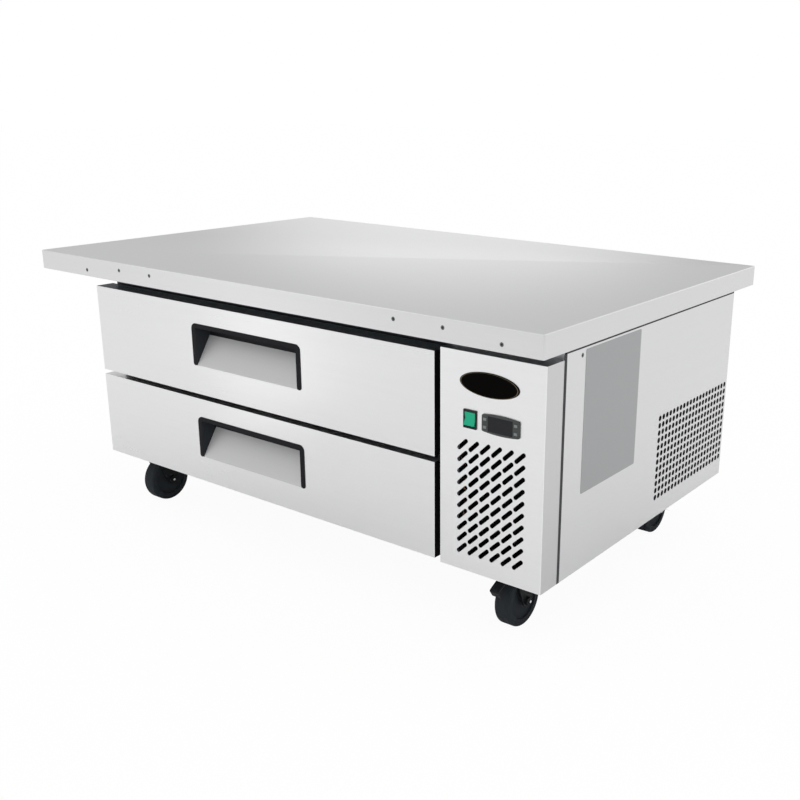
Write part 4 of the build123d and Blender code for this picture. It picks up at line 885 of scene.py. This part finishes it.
def panel_face(normal):
    """The front has the first material, the bends the second as a painted highlight, the right side a darker
    steel as painted shade, and the left side black as painted shade in the gap.
    """
    if abs(normal.x) > square_share:
        return 2 if normal.x > 0 else 3
    return is_bent(normal, 1)


soften("grille_panel", panel_steel, bend_highlight_steel, flank_shaded_steel, gap_shade_black, by_face=panel_face)
front_slots = {
    "Columns": slot_columns,
    "Rows": slot_rows,
    "Pitch across": slot_pitch_across,
    "Pitch up": slot_pitch_up,
    "Hole length": slot_length,
    "Hole width": slot_width,
    "Slant": slot_slant,
    "Middle": (
        panel_low.x + slot_from_left,
        panel_low.y,
        panel_low.z + slot_bottom_inset + (slot_rows - 1) * slot_pitch_up / 2,
    ),
    "Turn": (quarter_turn, 0.0, 0.0),
}
add_rims("front_slot_rims", front_slots, panel_steel)

# Oval plate
# A glossy black domed plastic plate glued to the front panel, with a fine brass-coloured line just inside
# its edge.
badge_black = moulded(
    "badge_black",
    colour=(0.0025, 0.0022, 0.002),
    roughness=0.25,
    grains=500.0,
    spreads=(0.3, 0.05),
    bump=(0.02, 0.0001),
    shine=0.012,
)
badge_line = brushed("badge_line", colour=(0.17, 0.135, 0.085), stretch=(400, 400, 400), roughness=0.3)
# The plate's half side view, as shares of its half width and of its thickness.
badge_profile = (
    (1.0, 0.0), (1.0, 0.45), (0.992, 0.62), (0.975, 0.70), (0.966, 0.72), (0.963, 0.80),
    (0.947, 0.80), (0.944, 0.76), (0.80, 0.84), (0.60, 0.92), (0.35, 0.98), (0.0, 1.0),
)
# The bands of the profile that the line takes, counted from the edge.
badge_line_bands = (4, 5, 6)
badge_steps = 96


def turned(name, profile, middle, axis, steps, oval=1.0, line_bands=()):
    """A piece turned about a level axis from pairs of radius and height.

    It is oval where its height is a share of its width, and has a second material on its line bands.
    """
    crease = math.radians(35)
    axis = Vector(axis)
    up = Vector((0, 0, 1))
    axes = Matrix((up.cross(axis), up, axis)).transposed()
    build = bmesh.new()
    rings = []
    for radius, height in profile:
        count = steps if radius > 0 else 1
        ring = []
        for index in range(count):
            angle = math.tau * index / count
            across = radius * math.cos(angle)
            upward = oval * radius * math.sin(angle)
            ring.append(build.verts.new(Vector(middle) + axes @ Vector((across, upward, height))))
        rings.append(ring)
    for band, (near, far) in enumerate(zip(rings, rings[1:])):
        for index in range(steps):
            corners = []
            for ring, place in ((near, index), (near, index + 1), (far, index + 1), (far, index)):
                vertex = ring[place % len(ring)]
                if vertex not in corners:
                    corners.append(vertex)
            build.faces.new(corners).material_index = int(band in line_bands)
    return built_piece(name, build, crease)


badge_low, badge_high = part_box("badge_plate")
badge_half = (badge_high.x - badge_low.x) / 2
badge_rise = badge_high.y - badge_low.y
badge = turned(
    "oval_plate",
    [(share * badge_half, rise * badge_rise) for share, rise in badge_profile],
    ((badge_low.x + badge_high.x) / 2, badge_high.y, (badge_low.z + badge_high.z) / 2),
    (0, -1, 0),
    badge_steps,
    oval=(badge_high.z - badge_low.z) / (badge_high.x - badge_low.x),
    line_bands=badge_line_bands,
)
paint(badge, badge_black, badge_line)
stand_in(badge, "badge_plate")

# Rocker switch
# A black moulded housing set in the front panel, with a glossy green rocker that tips on a short pin at
# each of its ends.
housing_edge = 0.0004
rocker_edge = 0.0003
switch_black = moulded("switch_black", colour=(0.010, 0.010, 0.011), roughness=0.35, shine=0.25)
rocker_green = moulded(
    "rocker_green",
    colour=(0.008, 0.40, 0.22),
    roughness=0.25,
    grains=300.0,
    spreads=(0.2, 0.05),
    bump=(0.03, 0.0001),
    shine=0.25,
)
soften("switch_housing", switch_black, radius=housing_edge)
soften("switch_rocker", rocker_green, radius=rocker_edge)

# Temperature controller
# A grey moulded bezel set in the front panel, with a dark plastic window and two small moulded keys at
# each side of it.
bezel_edge = 0.0003
window_edge = 0.0002
key_edge = 0.0005
key_segments = 3
controller_grey = moulded("controller_grey", colour=(0.064, 0.069, 0.068), grains=1300.0, shine=0.12)
window_dark = moulded(
    "window_dark",
    colour=(0.012, 0.0125, 0.0145),
    roughness=0.2,
    grains=200.0,
    spreads=(0.15, 0.04),
    bump=(0.01, 0.0001),
    shine=0.2,
)
key_grey = moulded("key_grey", colour=(0.21, 0.23, 0.225), roughness=0.5, grains=1300.0, shine=0.15)
soften("controller_housing", controller_grey, radius=bezel_edge)
soften("controller_window", window_dark, radius=window_edge)
for name in ("set", "light", "up", "down"):
    soften("controller_key_" + name, key_grey, radius=key_edge, segments=key_segments)

# Condenser and evaporator
# Copper tubes through close stacks of thin aluminium fins, between end plates. The condenser's fins are
# lacquered black, which is also painted shade that keeps the front panel's slots dark.
# Each fin is pressed in waves.
fin_aluminium = brushed(
    "fin_aluminium", colour=(0.72, 0.73, 0.74), stretch=(500, 500, 40), roughness=0.35
)
fin_shade_black = moulded("fin_shade_black", colour=(0.012, 0.012, 0.013), roughness=0.5, shine=0.15)
tube_copper = brushed(
    "tube_copper",
    colour=(0.66, 0.36, 0.23),
    stretch=(260, 260, 260),
    roughness=0.32,
    spreads=(0.35, 0.25),
)
fin_sheet = 0.00015
fin_wave = 0.0005
fin_waves = 14
fins_between = 2
least_tube = 0.002


def is_tube(low, high):
    """One for a coil's bent tube, and nought for a flat fin."""
    return int(min(high - low) > least_tube)


def fin_stack_tree():
    """A row of thin wavy fins, as a tree with its sizes as inputs."""
    points_across = 2
    points_up = 60
    inputs = {
        "Count": "Int",
        "First": "Vector",
        "Step": "Vector",
        "Fin size": "Vector",
        "Wave height": "Float",
        "Wave pace": "Float",
        "Turn": "Vector",
        "Material": "Material",
    }
    tree, given, result = new_tree("GeometryNodeTree", "fin_stack", inputs, {"Fins": "Geometry"})
    row = add_node(
        tree,
        "GeometryNodeMeshLine",
        {"Count": given["Count"], "Start Location": given["First"], "Offset": given["Step"]},
    )
    fin = add_node(
        tree,
        "GeometryNodeMeshCube",
        {"Size": given["Fin size"], "Vertices Y": points_across, "Vertices Z": points_up},
    )
    position = tree.nodes.new("GeometryNodeInputPosition").outputs[0]
    upward = add_node(tree, "ShaderNodeSeparateXYZ", {0: position}).outputs["Z"]
    swing = reckon(tree, "SINE", reckon(tree, "MULTIPLY", upward, given["Wave pace"]))
    reach = reckon(tree, "MULTIPLY", swing, given["Wave height"])
    offset = add_node(tree, "ShaderNodeCombineXYZ", {"X": reach})
    waved = add_node(
        tree, "GeometryNodeSetPosition", {"Geometry": fin.outputs[0], "Offset": offset.outputs[0]}
    )
    stack = add_node(
        tree,
        "GeometryNodeInstanceOnPoints",
        {"Points": row.outputs[0], "Instance": waved.outputs[0], "Rotation": given["Turn"]},
    )
    return end_growth(tree, stack.outputs[0], given["Material"], result)


fin_stack = fin_stack_tree()
for coil, fin_material, along in (("condenser_coil", fin_shade_black, 0), ("evaporator_coil", fin_aluminium, 1)):
    soften(coil, fin_material, tube_copper, by_body=is_tube)
    coil_build = bmesh.new()
    coil_build.from_mesh(merged(coil))
    boxes = [box_of(body) for body in separate_bodies(coil_build)]
    coil_build.free()
    fins = sorted((box for box in boxes if not is_tube(*box)), key=lambda box: box[0][along])
    first = (fins[0][0] + fins[0][1]) / 2
    last = (fins[-1][0] + fins[-1][1]) / 2
    size = fins[0][1] - fins[0][0]
    fin_count = (len(fins) - 1) * (fins_between + 1)
    extra_fins = grown(
        coil + "_fins",
        fin_stack,
        {
            "Count": fin_count,
            "First": tuple(first),
            "Step": tuple((last - first) / fin_count),
            "Fin size": (fin_sheet, size[1 - along], size.z),
            "Wave height": fin_wave,
            "Wave pace": math.tau * fin_waves / size.z,
            "Turn": (0.0, 0.0, quarter_turn * along),
            "Material": fin_material,
        },
    )
    add_detail(extra_fins, "cabinet")

# Shroud, cover and fans
# The condenser's duct is galvanised and the evaporator's cover is stainless. Each has a motor held by a
# steel strap, with a moulded fan on its shaft.
motor_edge = 0.0008
blade_edge = 0.0003
least_strap = 0.1
motor_grey = moulded("motor_grey", colour=(0.06, 0.062, 0.066), roughness=0.5, shine=0.3)
fan_black = moulded("fan_black", colour=(0.02, 0.02, 0.022), roughness=0.4, shine=0.3)


def is_strap(low, high):
    """One for a motor's long strap, and nought for the motor."""
    return int(max(high - low) > least_strap)


dress(zinc_sheet, "condenser_shroud")
dress(liner_steel, "evaporator_cover")
soften("fan_motors", motor_grey, zinc_sheet, radius=motor_edge, by_body=is_strap)
for name in ("condenser_fan_blade", "evaporator_fan_blade"):
    soften(name, fan_black, radius=blade_edge)

# Compressor
# A black enamelled steel shell with a weld round its middle, on a foot plate that stands on four rubber
# mounts.
shell_edge = 0.0006
most_mount = 0.05
shell_black = moulded(
    "shell_black",
    colour=(0.012, 0.012, 0.013),
    roughness=0.3,
    grains=260.0,
    spreads=(0.2, 0.1),
    bump=(0.15, 0.0005),
    shine=0.35,
)
mount_rubber = moulded(
    "mount_rubber", colour=(0.02, 0.02, 0.02), roughness=0.8, grains=700.0, shine=0.2
)


def is_mount(low, high):
    """One for a small rubber mount, and nought for the shell and its foot."""
    return int(max(high - low) < most_mount)


soften("compressor", shell_black, mount_rubber, radius=shell_edge, by_body=is_mount)

# Pipework
# Soldered copper lines with a filter drier, the suction line in a black foam sleeve, and the drain in
# grey plastic.
drain_top = 0.2
suction_reach = 0.56
sleeve_black = moulded(
    "sleeve_black",
    colour=(0.018, 0.018, 0.019),
    roughness=0.9,
    grains=420.0,
    spreads=(0.4, 0.05),
    bump=(0.5, 0.0006),
)
drain_grey = moulded("drain_grey", colour=(0.34, 0.35, 0.36), roughness=0.5)


def pipe_kind(low, high):
    """The drain is the low one, and the suction line is the one that goes far right."""
    if high.z < drain_top:
        return 2
    return int(high.x > suction_reach)


soften("pipework", tube_copper, sleeve_black, drain_grey, by_body=pipe_kind)

# Condensate pan
# A moulded grey plastic tray behind the compressor, which catches the water that the evaporator's drain
# brings.
pan_grey = moulded("pan_grey", colour=(0.42, 0.43, 0.44), roughness=0.5)
dress(pan_grey, "condensate_pan")

# Screws
# Zinc-plated countersunk screws that hold the worktop's apron and the panels. On each head lies a thin flat
# black cross, painted shade that stands for the cross recess in it.
screw_zinc = moulded(
    "screw_zinc",
    colour=(0.15, 0.15, 0.155),
    roughness=0.4,
    grains=1500.0,
    spreads=(0.3, 0.2),
    metallic=1.0,
)
recess_shade_black = moulded("recess_shade_black", colour=(0.01, 0.01, 0.011), roughness=0.7, shine=0.1)
recess_length = 0.0046
recess_width = 0.0011
recess_sheet = 0.0001


def recess_shade_tree():
    """A thin black cross on each point, painted shade for a screw's recess, turned to face the way that the
    point's attribute says.
    """
    inputs = {
        "Heads": "Geometry",
        "Length": "Float",
        "Width": "Float",
        "Sheet": "Float",
        "Material": "Material",
    }
    tree, given, result = new_tree("GeometryNodeTree", "recesses", inputs, {"Crosses": "Geometry"})
    cross = tree.nodes.new("GeometryNodeJoinGeometry")
    for across, upward in (("Length", "Width"), ("Width", "Length")):
        size = add_node(
            tree, "ShaderNodeCombineXYZ", {"X": given[across], "Y": given[upward], "Z": given["Sheet"]}
        )
        arm = add_node(tree, "GeometryNodeMeshCube", {"Size": size.outputs[0]})
        tree.links.new(arm.outputs[0], cross.inputs[0])
    outward = add_node(
        tree, "GeometryNodeInputNamedAttribute", {"Name": "outward"}, data_type="FLOAT_VECTOR"
    )
    turn = add_node(
        tree, "FunctionNodeAlignRotationToVector", {"Vector": outward.outputs[0]}, axis="Z"
    )
    placed = add_node(
        tree,
        "GeometryNodeInstanceOnPoints",
        {"Points": given["Heads"], "Instance": cross.outputs[0], "Rotation": turn.outputs[0]},
    )
    return end_growth(tree, placed.outputs[0], given["Material"], result)


dress(screw_zinc, "fixing_screws")
screw_build = bmesh.new()
screw_build.from_mesh(merged("fixing_screws"))
whole_middle = (Vector(packed_box[0]) + Vector(packed_box[1])) / 2
heads = []
for body in separate_bodies(screw_build):
    low, high = box_of(body)
    span = high - low
    axis = max(range(3), key=lambda index: span[index])
    outward = Vector((0, 0, 0))
    outward[axis] = math.copysign(1, (low + high)[axis] / 2 - whole_middle[axis])
    heads.append(((low + high) / 2 + outward * span[axis] / 2, outward))
screw_build.free()
head_mesh = bpy.data.meshes.new("screw_heads")
head_mesh.from_pydata([place for place, outward in heads], [], [])
directions = head_mesh.attributes.new("outward", "FLOAT_VECTOR", "POINT")
for index, (place, outward) in enumerate(heads):
    directions.data[index].vector = outward
recesses = grown(
    "screw_recesses",
    recess_shade_tree(),
    {"Length": recess_length, "Width": recess_width, "Sheet": recess_sheet, "Material": recess_shade_black},
    head_mesh,
)
add_detail(recesses, "cabinet")

# Casters
# A pressed plate with a ball race, bolted under the base plate, a hooded fork and a solid tyre on a dark
# grey hub. The axle has a bright cap, and the front right caster has a brake lever.
caster_black = moulded("caster_black", colour=(0.010, 0.011, 0.012), grains=700.0, shine=0.12)
tyre_black = moulded("tyre_black", colour=(0.023, 0.027, 0.031), roughness=0.6, shine=0.07)
hub_grey = moulded("hub_grey", colour=(0.070, 0.088, 0.100), shine=0.12)
bolt_bright = brushed(
    "bolt_bright", colour=(0.80, 0.80, 0.80), stretch=(600, 600, 600), roughness=0.25
)
caster_plate_edge = 0.0005
wheel_edge = 0.0005
fork_edge = 0.0007
lever_edge = 0.0008
# The least share of the wheel's height that a tyre has.
tyre_share = 0.9
# The cap's half side view, as radius and height.
cap_profile = ((0.0026, 0.0), (0.0026, 0.0006), (0.0018, 0.0013), (0.0, 0.0016))
cap_sunk = 0.0005
cap_steps = 24
sample_low, sample_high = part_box("caster_wheel_front_left")
least_tyre = tyre_share * (sample_high.z - sample_low.z)


def is_hub(low, high):
    """One for a wheel's hub, and nought for its tyre."""
    return int(high.z - low.z < least_tyre)


soften("caster_plates", caster_black, radius=caster_plate_edge)
for side in ("front_left", "front_right", "rear_left", "rear_right"):
    wheel = "caster_wheel_" + side
    wheel_low, wheel_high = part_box(wheel)
    soften(wheel, tyre_black, hub_grey, radius=wheel_edge, by_body=is_hub)
    soften("caster_fork_" + side, caster_black, radius=fork_edge)
    axle_end = (
        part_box("caster_fork_" + side)[1].x - cap_sunk,
        (wheel_low.y + wheel_high.y) / 2,
        (wheel_low.z + wheel_high.z) / 2,
    )
    cap = turned("axle_cap_" + side, cap_profile, axle_end, (1, 0, 0), cap_steps)
    paint(cap, bolt_bright)
    add_detail(cap, "caster_" + side)
soften("brake_pedal_front_right", caster_black, radius=lever_edge)

# Floor and light
# A white floor under a plain white room. In mirrored light the room is a little brighter over the back of
# the worktop, and in upright bands before the drawers and beside the side panel, as soft lamps make it.
floor_half = 20.0
floor_glow = 0.95
room_strength = 0.95
side_tone = 0.70
white = (1, 1, 1, 1)
white_strength = 1.0
# Each lamp has its direction, its two edges as cosines and the tone that it adds.
back_lamp = ((-0.602, 0.792, 0.10), (0.962, 0.998), 0.50)
drawer_lamp = ((-0.735, -0.678, 0), (0.980, 0.9996), 0.7)
flank_lamp = ((0.309, 0.951, 0), (0.940, 0.995), 0.42)
# An upright light panel that only mirrored light meets stands before the drawers.
light_panel_middle = (-0.638, -1.052)
light_panel_width = 0.26
light_panel_height = 0.9
light_panel_tone = 1.2

bpy.ops.mesh.primitive_plane_add(size=2 * floor_half)
floor = bpy.context.object
floor.name = "floor"
floor_white, floor_tree = new_material("floor_white")
floor_shader = floor_tree.nodes["Principled BSDF"]
floor_shader.inputs["Base Color"].default_value = white
floor_shader.inputs["Roughness"].default_value = 1.0
floor_shader.inputs["Specular IOR Level"].default_value = 0.0
floor_path = floor_tree.nodes.new("ShaderNodeLightPath")
floor_lift = reckon(floor_tree, "MULTIPLY", floor_path.outputs["Is Camera Ray"], floor_glow)
floor_light = add_node(
    floor_tree, "ShaderNodeEmission", {"Color": white, "Strength": white_strength}
)
floor_mix = add_node(
    floor_tree,
    "ShaderNodeMixShader",
    {0: floor_lift, 1: floor_shader.outputs[0], 2: floor_light.outputs[0]},
)
floor_tree.links.new(floor_mix.outputs[0], floor_tree.nodes["Material Output"].inputs["Surface"])
paint(floor, floor_white)

across_panel = Vector((drawer_lamp[0][1], -drawer_lamp[0][0])) * light_panel_width / 2
panel_feet = [Vector(light_panel_middle) + side * across_panel for side in (-1, 1)]
panel_heights = (0, 0, light_panel_height, light_panel_height)
panel_corners = [(*foot, height) for foot, height in zip(panel_feet + panel_feet[::-1], panel_heights)]
panel_mesh = bpy.data.meshes.new("light_panel")
panel_mesh.from_pydata(panel_corners, [], [(0, 1, 2, 3)])
light_panel = new_piece("light_panel", panel_mesh)
panel_glow, panel_tree = new_material("panel_glow")
panel_light = add_node(
    panel_tree, "ShaderNodeEmission", {"Color": white, "Strength": light_panel_tone}
)
panel_tree.links.new(panel_light.outputs[0], panel_tree.nodes["Material Output"].inputs["Surface"])
paint(light_panel, panel_glow)
for ray in ("camera", "diffuse", "transmission", "shadow", "volume_scatter"):
    setattr(light_panel, "visible_" + ray, False)

room = bpy.data.worlds.new("room")
bpy.context.scene.world = room
room.use_nodes = True
room_tree = room.node_tree
room_light = room_tree.nodes["Background"]
room_path = room_tree.nodes.new("ShaderNodeLightPath")
look = room_tree.nodes.new("ShaderNodeTexCoord").outputs["Generated"]
flat_look = add_node(room_tree, "ShaderNodeVectorMath", {0: look, 1: (1, 1, 0)}, operation="MULTIPLY")
level_look = add_node(room_tree, "ShaderNodeVectorMath", {0: flat_look.outputs[0]}, operation="NORMALIZE")
mirrored = side_tone
for seen_look, (lamp_direction, lamp_edges, extra_tone) in (
    (look, back_lamp),
    (level_look.outputs[0], drawer_lamp),
    (level_look.outputs[0], flank_lamp),
):
    toward_lamp = add_node(
        room_tree, "ShaderNodeVectorMath", {0: seen_look, 1: lamp_direction}, operation="DOT_PRODUCT"
    )
    band = add_node(
        room_tree,
        "ShaderNodeMapRange",
        {
            "Value": toward_lamp.outputs["Value"],
            "From Min": lamp_edges[0],
            "From Max": lamp_edges[1],
            "To Max": extra_tone,
        },
        interpolation_type="SMOOTHSTEP",
    )
    mirrored = reckon(room_tree, "ADD", mirrored, band.outputs[0])
lit = blend(room_tree, room_path.outputs["Is Glossy Ray"], room_strength, mirrored)
shown = blend(room_tree, room_path.outputs["Is Camera Ray"], lit, white_strength)
room_light.inputs["Color"].default_value = white
room_tree.links.new(shown, room_light.inputs["Strength"])
bpy.context.scene.view_settings.view_transform = "Standard"
